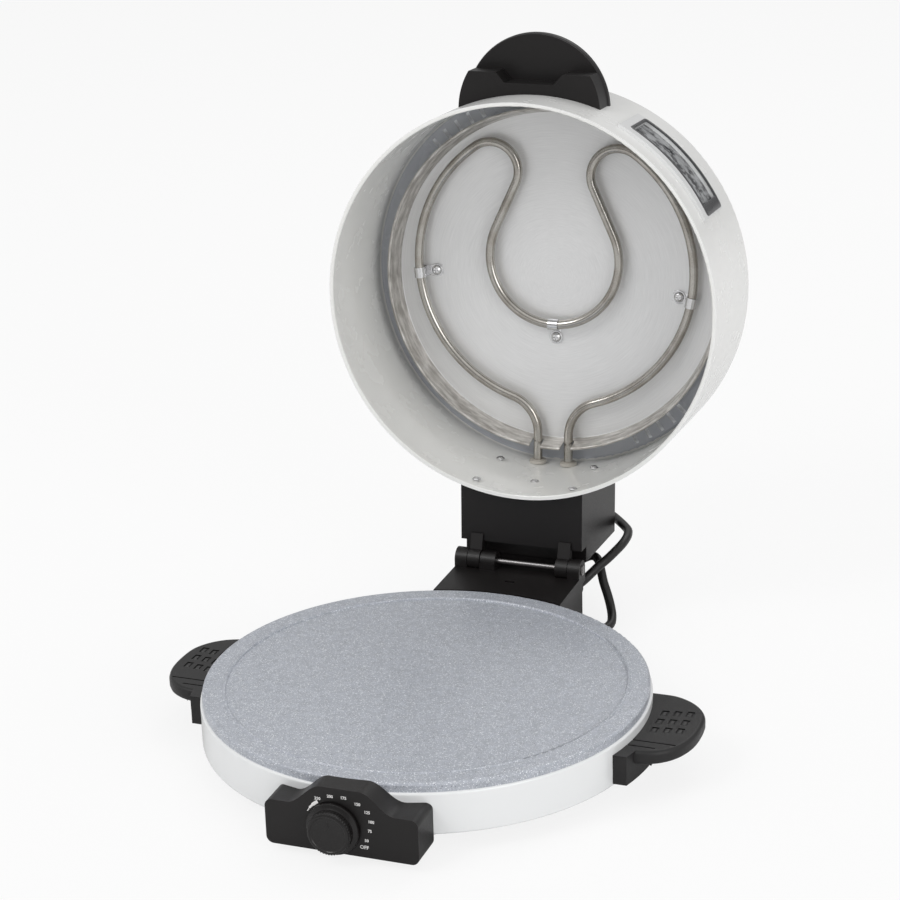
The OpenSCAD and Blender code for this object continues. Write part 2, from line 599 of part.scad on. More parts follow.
// hinge bracket on the base
sup_x0 = -kx2 + knuckle_gap;
module hinge_bracket() {
    cav = body_r + mould_t;
    color([0.15, 0.14, 0.14]) difference() {
        union() {
            difference() {
                box([-hinge_half, 120, body_z0], [hinge_half, br_y, br_top]);
                difference() {
                    box([-hinge_half + mould_t, 120, body_z0 - 1],
                        [hinge_half - mould_t, br_y - mould_t, br_top - mould_t]);
                    translate([0, 0, -1]) cylinder(h = 90, r = cav);
                    for (p = bracket_screw_pts) rod_y(p[0], 120, body_r + 12, p[1], 4.5);
                    for (p = brf_pts) translate([p[0], p[1], 0]) cylinder(h = 60, r = 5);
                }
            }
            for (s = [-1, 1]) {
                // outer knuckles
                rod_x(s > 0 ? kx0 : -hinge_half, s > 0 ? hinge_half : -kx0, hy, hz, barrel_r);
                box([s > 0 ? kx0 : -hinge_half, hy - barrel_r, br_top - 6],
                    [s > 0 ? hinge_half : -kx0, hy + barrel_r, hz]);
            }
            // inner support with slanted sides
            intersection() {
                union() {
                    rod_x(sup_x0 - eps, sup_x0 + 12, hy, hz, barrel_r - 1);
                    box([sup_x0, hy - barrel_r, br_top - 6], [sup_x0 + 12, hy + barrel_r - 1, hz]);
                }
                box([sup_x0, hy - barrel_r, br_top - 6], [sup_x0 + 12, hy + barrel_r, hz + barrel_r]);
            }
            // rear shelf and stop rib that carries the open lid
            box([-kx2 + knuckle_gap, br_y - 1, br_top - 9], [kx2 - knuckle_gap, hy + 21, br_top - 5]);
            difference() {
                box([-kx2 + knuckle_gap, hy + 17.4, br_top - 9], [kx2 - knuckle_gap, hy + 21, hz + 20]);
                lid_pose() box([-90, 0, hz - 60], [90, arm_y + 0.35, hz + 200]);
            }
        }
        translate([0, 0, -1]) cylinder(h = 90, r = body_r);
        // room for the arm's knuckles
        for (s = [-1, 1]) rod_x(s > 0 ? kx2 - knuckle_gap : -kx1 - knuckle_gap - eps,
            s > 0 ? kx1 + knuckle_gap + eps : -kx2 + knuckle_gap, hy, hz, barrel_r + 0.6);
        rod_x(-hinge_half - 1, hinge_half + 1, hy, hz, pin_r);
        for (p = bracket_screw_pts) rod_y(p[0], body_r - 30, body_r + 10, p[1], screw_r - 0.1);
        for (p = brf_pts) translate([p[0], p[1], body_z0 - 1]) cylinder(h = 22, r = screw_r - 0.1);
        // slot in the top, lead openings at the back and the side
        box([-4, hy - 26, br_top - 1.2], [4, hy - 23.4, br_top + 1]);
        rod_y(main_x, br_y - 6, br_y + 2, main_z, 6);
        rod_y(lead_low_x, br_y - 6, br_y + 2, lead_low_z, 6);
    }
}
module bracket_plate() {
    // lower closing plate of the bracket, between its walls
    color([0.15, 0.14, 0.14]) difference() {
        box([-hinge_half + mould_t + 0.2, 140, body_z0],
            [hinge_half - mould_t - 0.2, br_y - mould_t - 0.2, body_z0 + 2]);
        translate([0, 0, -1]) cylinder(h = 90, r = body_r + mould_t + 0.2);
        for (p = brf_pts) translate([p[0], p[1], 0]) cylinder(h = 60, r = 5.2);
        for (p = bracket_screw_pts) box([p[0] - 4.7, 140, 0], [p[0] + 4.7, body_r + 12.2, 60]);
    }
}
module bracket_feet() { color([0.12, 0.12, 0.12]) for (p = brf_pts) foot_at(p, body_z0); }
module bracket_foot_screws() {
    color([0.7, 0.7, 0.72]) for (p = brf_pts) translate([p[0], p[1], 4.4])
        pan_screw(body_z0 + 14 - 4.4, screw_r - 0.15);
}
module bracket_screws() {
    color([0.7, 0.7, 0.72]) for (p = bracket_screw_pts) {
        yw = sqrt(pow(body_r - sheet_t, 2) - pow(abs(p[0]) + head_r, 2));
        translate([p[0], yw - 0.05, p[1]]) rotate([-90, 0, 0]) difference() {
            union() {
                cylinder(h = body_r + 8 - yw, r = screw_r - 0.15);
                translate([0, 0, -head_h]) cylinder(h = head_h, r = head_r);
            }
            translate([-2, -0.45, -head_h - 1]) cube([4, 0.9, 2]);
        }
    }
}
module hinge_pin() { color([0.75, 0.75, 0.77]) rod_x(-hinge_half - 1.2, hinge_half + 1.2, hy, hz, pin_r); }
module pin_clips() {
    color([0.6, 0.6, 0.62]) for (s = [-1, 1]) translate([s > 0 ? hinge_half : -hinge_half - 1, hy, hz])
        rotate([0, 90, 0]) difference() {
        cylinder(h = 1, r = 4);
        translate([0, 0, -1]) cylinder(h = 3, r = pin_r);
    }
}
module terminal_block() {
    color([0.9, 0.88, 0.8]) difference() {
        box([-14, br_y - mould_t - 16, body_z0 + 2], [14, br_y - mould_t - 4, body_z0 + 16]);
        for (x = [-9, 0, 9]) translate([x, br_y - mould_t - 10, body_z0 + 8]) cylinder(h = 20, r = 2.6);
    }
}

// leads
module cord_gland() {
    color([0.1, 0.1, 0.1]) difference() {
        union() {
            rod_y(main_x, br_y - 2.4, br_y, main_z, 5.9);
            rod_y(main_x, br_y, br_y + 2, main_z, 8);
            translate([main_x, br_y + 2, main_z]) rotate([-90, 0, 0])
                cylinder(h = main_gland_l - 2, r1 = 6.8, r2 = 4.8);
        }
        rod_y(main_x, br_y - 5, br_y + 30, main_z, cord_r - 0.4);
    }
}
module mains_cord() { color([0.1, 0.1, 0.1]) tube(lead_pts, cord_r, cord_sides); }
module mains_cord_coil() { color([0.1, 0.1, 0.1]) tube(coil_all, cord_r, 6); }
module cord_tie() {
    color([0.2, 0.2, 0.2]) translate([coil_x, coil_y, 0]) rotate(60)
        translate([-coil_r0 - 5.5, -1.6, 0]) difference() {
        cube([coil_r0 - coil_ri + 11.2, 3.2, coil_z + coil_rise + cord_r + 1.6]);
        translate([1, -1, 1]) cube([coil_r0 - coil_ri + 9.2, 6, coil_z + coil_rise + cord_r - 0.6]);
    }
}
coil_ri = coil_r0 - coil_pitch * coil_turns;
module plug() {
    color([0.1, 0.1, 0.1]) translate([tail_cx - 8, plug_y, plug_z]) difference() {
        union() {
            translate([-10, 0, 0]) rotate([0, 90, 0]) cylinder(h = 10, r1 = 6.5, r2 = 4.6);
            translate([-34, 0, 0]) rotate([0, 90, 0]) cylinder(h = 24, r = 12);
        }
        for (s = [-1, 1]) box([-50, -20, s > 0 ? 7.8 : -20], [5, 20, s > 0 ? 20 : -7.8]);
    }
}
module plug_pins() {
    color([0.8, 0.75, 0.5]) for (s = [-1, 1]) {
        rod_x(tail_cx - 8 - 34 - 19, tail_cx - 8 - 34, plug_y + s * 7, plug_z, 2);
        translate([tail_cx - 8 - 34 - 19, plug_y + s * 7, plug_z]) sphere(2);
    }
}
module lead_gland_lower() {
    color([0.1, 0.1, 0.1]) difference() {
        union() {
            rod_y(lead_low_x, br_y - 2.4, br_y, lead_low_z, 5.9);
            rod_y(lead_low_x, br_y, br_y + low_gland_l, lead_low_z, 6.4);
        }
        rod_y(lead_low_x, br_y - 5, br_y + 9, lead_low_z, cord_r - 0.4);
    }
}
module lid_lead() { color([0.1, 0.1, 0.1]) tube(lid_lead_pts, cord_r, cord_sides); }

// lid, drawn closed
module lid_shell() {
    color([0.94, 0.94, 0.93]) lid_pose() difference() {
        union() {
            turned() difference() {
                union() {
                    rsq(-300, lid_z - 20, lid_r, lid_z + lid_h, lid_corner);
                }
                rsq(-299, lid_z - 30, lid_r - sheet_t, lid_z + lid_h - sheet_t, lid_corner - sheet_t);
                translate([-1, lid_z - 40]) square([400, 40]);
            }
            // hemmed lower edge
            turned() difference() {
                translate([lid_r - sheet_t - 0.9, lid_z + 0.9]) union() {
                    circle(0.9);
                    square([1.2, 4]);
                    translate([-0.9, 0]) square([1.2, 4]);
                    translate([0, -0.9]) square([0.9 + sheet_t - eps, 2]);
                }
            }
            // pressed ring on the top
            turned() translate([116, lid_z + lid_h - eps]) intersection() {
                circle(3);
                translate([-4, 0]) square([8, 2]);
            }
        }
        // window, legs of the tube, screws, vents
        sector(lid_r - 8, lid_r + 8, lid_z + window_z0 + 10, lid_z + window_z0 + window_h - 2.6,
            window_dir - window_span / 2 + 2.9, window_dir + window_span / 2 - 2.9);
        for (s = [-1, 1]) rod_y(s * leg_half, lid_r - 12, lid_r + 6, tube_z, bush_r);
        for (p = screw_pts) rod_y(p[0], lid_r - 14, lid_r + 6, lid_z + p[1], screw_r + fit);
        for (p = spacer_pts) translate([p[0], p[1], lid_z + lid_h - 6]) cylinder(h = 12, r = screw_r + fit);
        for (p = grip_screw_pts) rod_y(p[0], -lid_r - 6, -lid_r + 12, lid_z + p[1], screw_r + fit);
        for (c = [-126, 54]) for (i = [-2 : 2]) rotate(c + i * 4.7)
            translate([lid_r - 15, -1.5, lid_z + lid_h - 6]) cube([9.5, 3, 12]);
        for (w = window_screw_pts) rotate(w[0]) translate([lid_r - 6, 0, lid_z + w[1]])
            rotate([0, 90, 0]) cylinder(h = 12, r = 1.1);
    }
}
bush_r = 5;
window_z0 = 20;
spacer_pts = [
    [clip_at(clip_left_dir)[0], clip_at(clip_left_dir)[1]],
    [clip_at(clip_right_dir)[0], clip_at(clip_right_dir)[1]],
    [0, loop_cy + loop_r + clip_off - tube_r]];
function clip_at(a) = [(run_r - clip_off + tube_r) * cos(a), run_cy + (run_r - clip_off + tube_r) * sin(a)];
grip_x = -4;
grip_screw_pts = [[grip_x - 34, grip_h - 8], [grip_x + 34, grip_h - 8]];
strap_z0 = window_z0 + 9;
strap_z1 = window_z0 + window_h - 4;
window_screw_pts = [for (s = [-1, 1])
    for (z = [strap_z0 + 4, strap_z1 - 4]) [window_dir + s * (window_span / 2 - 1.1), z]];

module upper_reflector() {
    color([0.82, 0.82, 0.82]) lid_pose() difference() {
        union() {
            turned() difference() {
                union() {
                    polygon([[0, dish_floor], [dish_r - 3.8, dish_floor], [dish_r, dish_z],
                        [dish_r + dish_t, dish_z],
                        [dish_r - 3.8 + dish_t, dish_floor + dish_t], [0, dish_floor + dish_t]]);
                    translate([dish_r + 1, dish_z]) circle(1.2);
                }
            }
        }
        // notches for the legs, holes for the screws
        for (s = [-1, 1]) {
            rod_y(s * leg_half, 100, 160, tube_z, tube_r + 1);
            box([s * leg_half - tube_r - 1, 100, dish_z - 5], [s * leg_half + tube_r + 1, 160, tube_z]);
        }
        for (p = spacer_pts) translate([p[0], p[1], dish_floor - 2]) cylinder(h = 6, r = screw_r + fit);
    }
}
module reflector_spacers() {
    color([0.7, 0.71, 0.73]) lid_pose() for (p = spacer_pts)
        translate([p[0], p[1], dish_floor + dish_t]) difference() {
        cylinder(h = lid_z + lid_h - sheet_t - dish_floor - dish_t, r = 4.5);
        translate([0, 0, -1]) cylinder(h = 20, r = screw_r + run_fit);
    }
}
module clip_screws() {
    color([0.72, 0.72, 0.74]) lid_pose() for (p = spacer_pts) translate([p[0], p[1], dish_floor - clip_t])
        pan_screw(lid_z + lid_h - dish_floor + clip_t + 4);
}
module clip_nuts() {
    color([0.7, 0.7, 0.72]) lid_pose() for (p = spacer_pts) translate([p[0], p[1], lid_z + lid_h])
        difference() {
        hex(3.5, 3);
        translate([0, 0, -1]) cylinder(h = 6, r = screw_r + run_fit);
    }
}
// half of the tube's run, from the leg to the inner loop
module tube_half() {
    translate([-leg_half, bend_cy, 0]) rotate([-90, 0, 0]) cylinder(h = lid_r + 6 - bend_cy, r = tube_r);
    translate([-leg_half - leg_bend_r, bend_cy, 0]) rotate(-bend_a) rotate_extrude(angle = bend_a)
        translate([leg_bend_r, 0]) circle(tube_r);
    translate([0, run_cy, 0]) rotate(180 - bend_a) rotate_extrude(angle = hair_dir - 180 + bend_a)
        translate([run_r, 0]) circle(tube_r);
    translate([hair_x, hair_y, 0]) rotate(hair_dir) rotate_extrude(angle = hair_out + 360 - hair_dir)
        translate([pin_bend_r, 0]) circle(tube_r);
    p0 = [hair_x + pin_bend_r * cos(hair_out), hair_y + pin_bend_r * sin(hair_out)];
    p1 = [loop_r * cos(hair_out + 180), loop_cy + loop_r * sin(hair_out + 180)];
    line_a = atan2(p1[1] - p0[1], p1[0] - p0[0]);
    translate([p0[0], p0[1], 0]) rotate(line_a) rotate([0, 90, 0]) cylinder(h = norm(p1 - p0), r = tube_r);
    seam([-leg_half, bend_cy], 90);
    seam([run_r * cos(180 - bend_a), run_cy + run_r * sin(180 - bend_a)], 270 - bend_a);
    seam([run_r * cos(hair_dir), run_cy + run_r * sin(hair_dir)], hair_dir + 90);
    seam(p0, line_a);
    seam(p1, line_a);
}
module upper_element() {
    color([0.45, 0.43, 0.4]) lid_pose() translate([0, 0, tube_z]) {
        tube_half();
        mirror([1, 0, 0]) tube_half();
        translate([0, loop_cy, 0]) rotate(-hair_out) rotate_extrude(angle = 180 + 2 * hair_out)
            translate([loop_r, 0]) circle(tube_r);
    }
}
// saddle clip: tube along y through the origin, tab towards -x up at the reflector
module clip_shape() {
    up = dish_floor - tube_z;
    difference() {
        union() {
            rod_y(0, -clip_w / 2, clip_w / 2, 0, tube_r + clip_fit + clip_t);
            box([-tube_r - clip_fit - clip_t, -clip_w / 2, 0], [0, clip_w / 2, up]);
            box([-clip_off + tube_r - 5, -clip_w / 2, up - clip_t], [0, clip_w / 2, up]);
        }
        rod_y(0, -clip_w, clip_w, 0, tube_r + clip_fit);
        box([-tube_r - clip_fit, -clip_w, 0], [tube_r + clip_fit, clip_w, up - clip_t]);
        translate([-clip_off + tube_r, 0, 0]) cylinder(h = 20, r = screw_r + fit);
    }
}
module element_clips() {
    color([0.78, 0.78, 0.8]) lid_pose() {
        translate([0, run_cy, tube_z]) rotate(clip_left_dir) translate([run_r, 0, 0]) clip_shape();
        translate([0, run_cy, tube_z]) rotate(clip_right_dir) translate([run_r, 0, 0]) clip_shape();
        translate([0, loop_cy, tube_z]) rotate(90) translate([loop_r, 0, 0]) mirror([1, 0, 0]) clip_shape();
    }
}
module element_bushings() {
    color([0.93, 0.92, 0.88]) lid_pose() for (s = [-1, 1]) difference() {
        union() {
            rod_y(s * leg_half, lid_r - 5, lid_r + 3.6, tube_z, bush_r - 0.05);
            rod_y(s * leg_half, lid_r - 4.5, lid_r - 2.3, tube_z, bush_r + 1.6);
        }
        rod_y(s * leg_half, lid_r - 10, lid_r + 10, tube_z, tube_r + run_fit);
    }
}
module element_terminals() {
    color([0.75, 0.7, 0.55]) lid_pose() for (s = [-1, 1]) {
        rod_y(s * leg_half, lid_r + 6, lid_r + 20, tube_z, 1.6);
        box([s * leg_half - 3.1, lid_r + 14, tube_z - 0.4], [s * leg_half + 3.1, lid_r + 22, tube_z + 0.4]);
    }
}
module hinge_arm() {
    color([0.15, 0.14, 0.14]) lid_pose() difference() {
        union() {
            difference() {
                union() {
                    box([-arm_half, 100, arm_z0], [arm_half, arm_low_y, arm_z1]);
                    box([-arm_half, 120, deep_z0], [arm_half, arm_y, arm_z1]);
                }
                difference() {
                    box([-arm_half + mould_t, 100, deep_z0 + mould_t],
                        [arm_half - mould_t, arm_y + 1, arm_z1 - mould_t]);
                    cylinder(h = 300, r = lid_r + mould_t);
                    for (p = screw_pts) rod_y(p[0], 100, lid_r + 14, lid_z + p[1], 4.5);
                    for (p = cover_pts) rod_y(p[0], 100, arm_y - mould_t, p[1], 4);
                }
            }
            for (s = [-1, 1]) {
                x0 = s > 0 ? kx2 : -kx1;
                rod_x(x0, x0 + knuckle_w, hy, hz, barrel_r);
                // lug from the knuckle to the arm
                translate([x0, hy, hz]) rotate([-atan2(arm_z0 + 1.5 - hz, arm_setback + 4), 0, 0])
                    translate([0, -arm_setback - 6, -3.2]) cube([knuckle_w, arm_setback + 6, 6.4]);
            }
        }
        cylinder(h = 300, r = lid_r);
        rod_x(-hinge_half, hinge_half, hy, hz, pin_r + run_fit);
        for (s = [-1, 1]) rod_y(s * leg_half, lid_r - 12, lid_r + 8, tube_z, bush_r);
        for (p = screw_pts) rod_y(p[0], lid_r - 20, lid_r + 10.5, lid_z + p[1], screw_r - 0.1);
        for (p = cover_pts) rod_y(p[0], arm_y - 14, arm_y + 2, p[1], 1.4);
        translate([lead_x, lead_y, arm_z1 - 8]) cylinder(h = 20, r = 6);
    }
}
cover_pts = [for (x = [-40, 40]) for (z = [deep_z0 + 7, arm_z1 - 7]) [x, z]];
module hinge_arm_cover() {
    color([0.15, 0.14, 0.14]) lid_pose() difference() {
        box([-arm_half + mould_t + 0.2, arm_y - mould_t, deep_z0 + mould_t + 0.2],
            [arm_half - mould_t - 0.2, arm_y, arm_z1 - mould_t - 0.2]);
        for (p = cover_pts) rod_y(p[0], arm_y - 5, arm_y + 2, p[1], 1.6);
        for (p = cover_pts) rod_y(p[0], arm_y - 1.3, arm_y + 2, p[1], 3.3);
    }
}
module arm_cover_screws() {
    color([0.7, 0.7, 0.72]) lid_pose() for (p = cover_pts) translate([p[0], arm_y - 1.3, p[1]])
        rotate([90, 0, 0]) pan_screw(10, 1.3, 3, 1.2);
}
module arm_screws() {
    color([0.75, 0.75, 0.77]) lid_pose() for (p = screw_pts) {
        ri = lid_r - sheet_t;
        yw = sqrt(ri * ri - pow(abs(p[0]) + 3.4, 2));
        screw_len = sqrt(lid_r * lid_r - p[0] * p[0]) + 8 - yw;
        translate([p[0], yw - 0.05, lid_z + p[1]]) rotate([-90, 0, 0]) union() {
            cylinder(h = screw_len, r = screw_r - 0.15);
            intersection() {
                translate([0, 0, -2]) cylinder(h = 2, r = 3.4);
                translate([0, 0, 2.4]) sphere(4.4);
            }
        }
    }
}
module lead_gland_upper() {
    color([0.1, 0.1, 0.1]) lid_pose() translate([lead_x, lead_y, arm_z1]) difference() {
        union() {
            translate([0, 0, -2.4]) cylinder(h = 2.4, r = 5.9);
            cylinder(h = 2, r = 8);
            translate([0, 0, 2]) cylinder(h = up_gland_l - 2, r1 = 6.4, r2 = 5);
        }
        translate([0, 0, -5]) cylinder(h = 20, r = cord_r - 0.4);
    }
}
module lid_handle() {
    gy = -(lid_r + grip_out - grip_r);
    color([0.17, 0.16, 0.16]) lid_pose() difference() {
        union() {
            translate([grip_x, gy, lid_z + grip_h]) turned() rsq(-grip_r, 0, grip_r, grip_t, 3.5);
            difference() {
                translate([grip_x, gy, lid_z + grip_h - grip_base])
                    cylinder(h = grip_base + grip_t / 2, r = grip_r - 1);
                box([-200, -300, 0], [200, -lid_r - 15.5, lid_z + grip_h]);
                // finger recess
                box([grip_x - 24, -300, 0], [grip_x + 24, -lid_r - 8, lid_z + grip_h]);
                for (s = [-1, 1]) translate([grip_x + s * 24, -lid_r - 12, 0]) rotate(45)
                    translate([-4, -4, 0]) cube([8, 8, lid_z + grip_h]);
            }
        }
        cylinder(h = 300, r = lid_r);
        for (p = grip_screw_pts) rod_y(p[0], -lid_r - 11, -lid_r + 20, lid_z + p[1], screw_r - 0.1);
    }
}
module lid_handle_screws() {
    color([0.75, 0.75, 0.77]) lid_pose() for (p = grip_screw_pts) {
        yw = sqrt(pow(lid_r - sheet_t, 2) - pow(abs(p[0]) + head_r, 2));
        translate([p[0], -yw + 0.05, lid_z + p[1]]) rotate([90, 0, 0])
            pan_screw(lid_r + 9 - yw, screw_r - 0.15);
    }
}
module window_bezel() {
    a0 = window_dir - window_span / 2;
    a1 = window_dir + window_span / 2;
    z0 = lid_z + window_z0;
    z1 = z0 + window_h;
    color([0.75, 0.76, 0.78]) lid_pose() difference() {
        union() {
            sector(lid_r, lid_r + 2, z0, z1, a0, a1);
            sector(lid_r - sheet_t - 0.25, lid_r + 1, z0 + 10.1, z1 - 2.7, a0 + 3, a1 - 3);
        }
        sector(lid_r - 9, lid_r + 9, z0 + 11, z1 - 3.4, a0 + 3.3, a1 - 3.3);
        for (w = window_screw_pts) rotate(w[0]) translate([lid_r - 6, 0, lid_z + w[1]])
            rotate([0, 90, 0]) cylinder(h = 7, r = 1.05);
    }
}
module window_glass() {
    a0 = window_dir - window_span / 2;
    a1 = window_dir + window_span / 2;
    color([0.8, 0.85, 0.88, 0.4]) lid_pose()
        sector(lid_r - sheet_t - 3.3, lid_r - sheet_t - 0.3, lid_z + window_z0 + 8,
        lid_z + window_z0 + window_h - 1, a0 + 2.1, a1 - 2.1);
}
module window_clips() {
    // two spring straps behind the glass, screwed to the wall
    h = window_span / 2;
    ri = lid_r - sheet_t;
    color([0.78, 0.78, 0.8]) lid_pose() for (m = [0, 1]) difference() {
        union() {
            sector(ri - 4.1, ri - 3.3, lid_z + strap_z0, lid_z + strap_z1,
                window_dir + (m ? -h + 0.2 : h - 3.1), window_dir + (m ? -h + 3.1 : h - 0.2));
            sector(ri - 3.3 - eps, ri - 0.02, lid_z + strap_z0, lid_z + strap_z1,
                window_dir + (m ? -h + 0.2 : h - 1.9), window_dir + (m ? -h + 1.9 : h - 0.2));
        }
        for (z = [strap_z0 + 4, strap_z1 - 4]) rotate(window_dir + (m ? -h + 1.1 : h - 1.1))
            translate([ri - 9, 0, lid_z + z]) rotate([0, 90, 0]) cylinder(h = 16, r = 1.1);
    }
}
module window_screws() {
    color([0.72, 0.72, 0.74]) lid_pose() for (w = window_screw_pts) rotate(w[0])
        translate([lid_r - sheet_t - 4.15, 0, lid_z + w[1]]) rotate([0, 90, 0]) union() {
        cylinder(h = 5.6, r = 1);
        translate([0, 0, -1.2]) cylinder(h = 1.2, r = 2.1);
    }
}

base_shell();
bottom_cover();
cover_screws();
cover_nuts();
base_feet();
foot_screws();
foot_nuts();
cooking_plate();
plate_screws();
plate_spacers();
lower_reflector();
lower_element();
element_straps();
control_panel();
panel_screws();
thermostat_body();
thermostat_shaft();
knob();
side_handle_left();
side_handle_right();
handle_screws();
hinge_bracket();
bracket_plate();
bracket_feet();
bracket_foot_screws();
bracket_screws();
hinge_pin();
pin_clips();
terminal_block();
cord_gland();
mains_cord();
mains_cord_coil();
cord_tie();
plug();
plug_pins();
lead_gland_lower();
lid_lead();
lid_shell();
upper_reflector();
reflector_spacers();
clip_screws();
clip_nuts();
upper_element();
element_clips();
element_bushings();
element_terminals();
hinge_arm();
hinge_arm_cover();
arm_cover_screws();
arm_screws();
lead_gland_upper();
lid_handle();
lid_handle_screws();
window_bezel();
window_glass();
window_clips();
window_screws();
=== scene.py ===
"""Looks of an electric roti maker with a tall hinged lid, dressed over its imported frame.

Lengths are in metres unless a name or docstring says millimetres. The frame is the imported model's:
floor at z = 0, the dial towards -y, the hinge towards +y, and the lid standing open.
"""

import logging
import math
from dataclasses import dataclass
from enum import Enum

import bmesh
import bpy
from mathutils import Matrix, Vector


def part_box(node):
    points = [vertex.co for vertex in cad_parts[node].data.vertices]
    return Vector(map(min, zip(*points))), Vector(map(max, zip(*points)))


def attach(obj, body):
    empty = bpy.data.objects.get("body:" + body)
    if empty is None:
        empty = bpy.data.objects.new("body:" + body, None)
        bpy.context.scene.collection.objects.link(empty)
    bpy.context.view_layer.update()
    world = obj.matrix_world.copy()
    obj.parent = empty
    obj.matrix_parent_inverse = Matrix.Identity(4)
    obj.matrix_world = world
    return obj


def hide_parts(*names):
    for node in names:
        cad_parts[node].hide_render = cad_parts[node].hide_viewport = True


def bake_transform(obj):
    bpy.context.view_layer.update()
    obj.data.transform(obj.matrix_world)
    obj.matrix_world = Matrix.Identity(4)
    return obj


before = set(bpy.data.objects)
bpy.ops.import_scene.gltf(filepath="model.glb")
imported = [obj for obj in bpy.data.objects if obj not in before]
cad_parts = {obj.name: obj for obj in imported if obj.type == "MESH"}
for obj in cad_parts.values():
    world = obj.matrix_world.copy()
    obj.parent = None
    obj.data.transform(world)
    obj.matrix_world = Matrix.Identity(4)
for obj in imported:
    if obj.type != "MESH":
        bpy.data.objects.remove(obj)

log = logging.getLogger("roti_maker")
Colour = tuple[float, float, float]
Point = tuple[float, float, float]
MM = 0.001


class Body(Enum):
    """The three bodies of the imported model."""

    BASE = "base"
    LID = "lid"
    DIAL = "dial"


class Slot(Enum):
    """Names of the record's material slots; each new piece is passed one, which nothing reads."""

    ENAMEL = "white_enamel"
    ZINC = "zinc_steel"
    MOULDING = "black_moulding"
    KNOB = "gloss_black_knob"
    SLEEVE = "cord_sleeve"
    FRAME = "window_frame"


@dataclass(frozen=True)
class Hinge:
    """The lid's hinge pin and the angle at which the lid stands open."""

    y: float = 203.6 * MM
    z: float = 54.7 * MM
    degrees: float = 93.0

    def matrix(self) -> Matrix:
        """Returns: the move that opens a closed lid."""
        pin = Vector((0.0, self.y, self.z))
        turn = Matrix.Rotation(math.radians(-self.degrees), 4, "X")
        return Matrix.Translation(pin) @ turn @ Matrix.Translation(-pin)

    def opened(self, x: float, y: float, z: float) -> Vector:
        """Returns: where a point of the closed lid lies once the lid is open."""
        return self.matrix() @ Vector((x, y, z))


HINGE = Hinge()


@dataclass(frozen=True)
class LidSizes:
    """Radius and top of the closed lid, and the height of its reflector's floor."""

    radius: float = 150.6 * MM
    top: float = 153.7 * MM
    floor: float = 146.3 * MM


LID = LidSizes()


# nodes of shaders and geometry


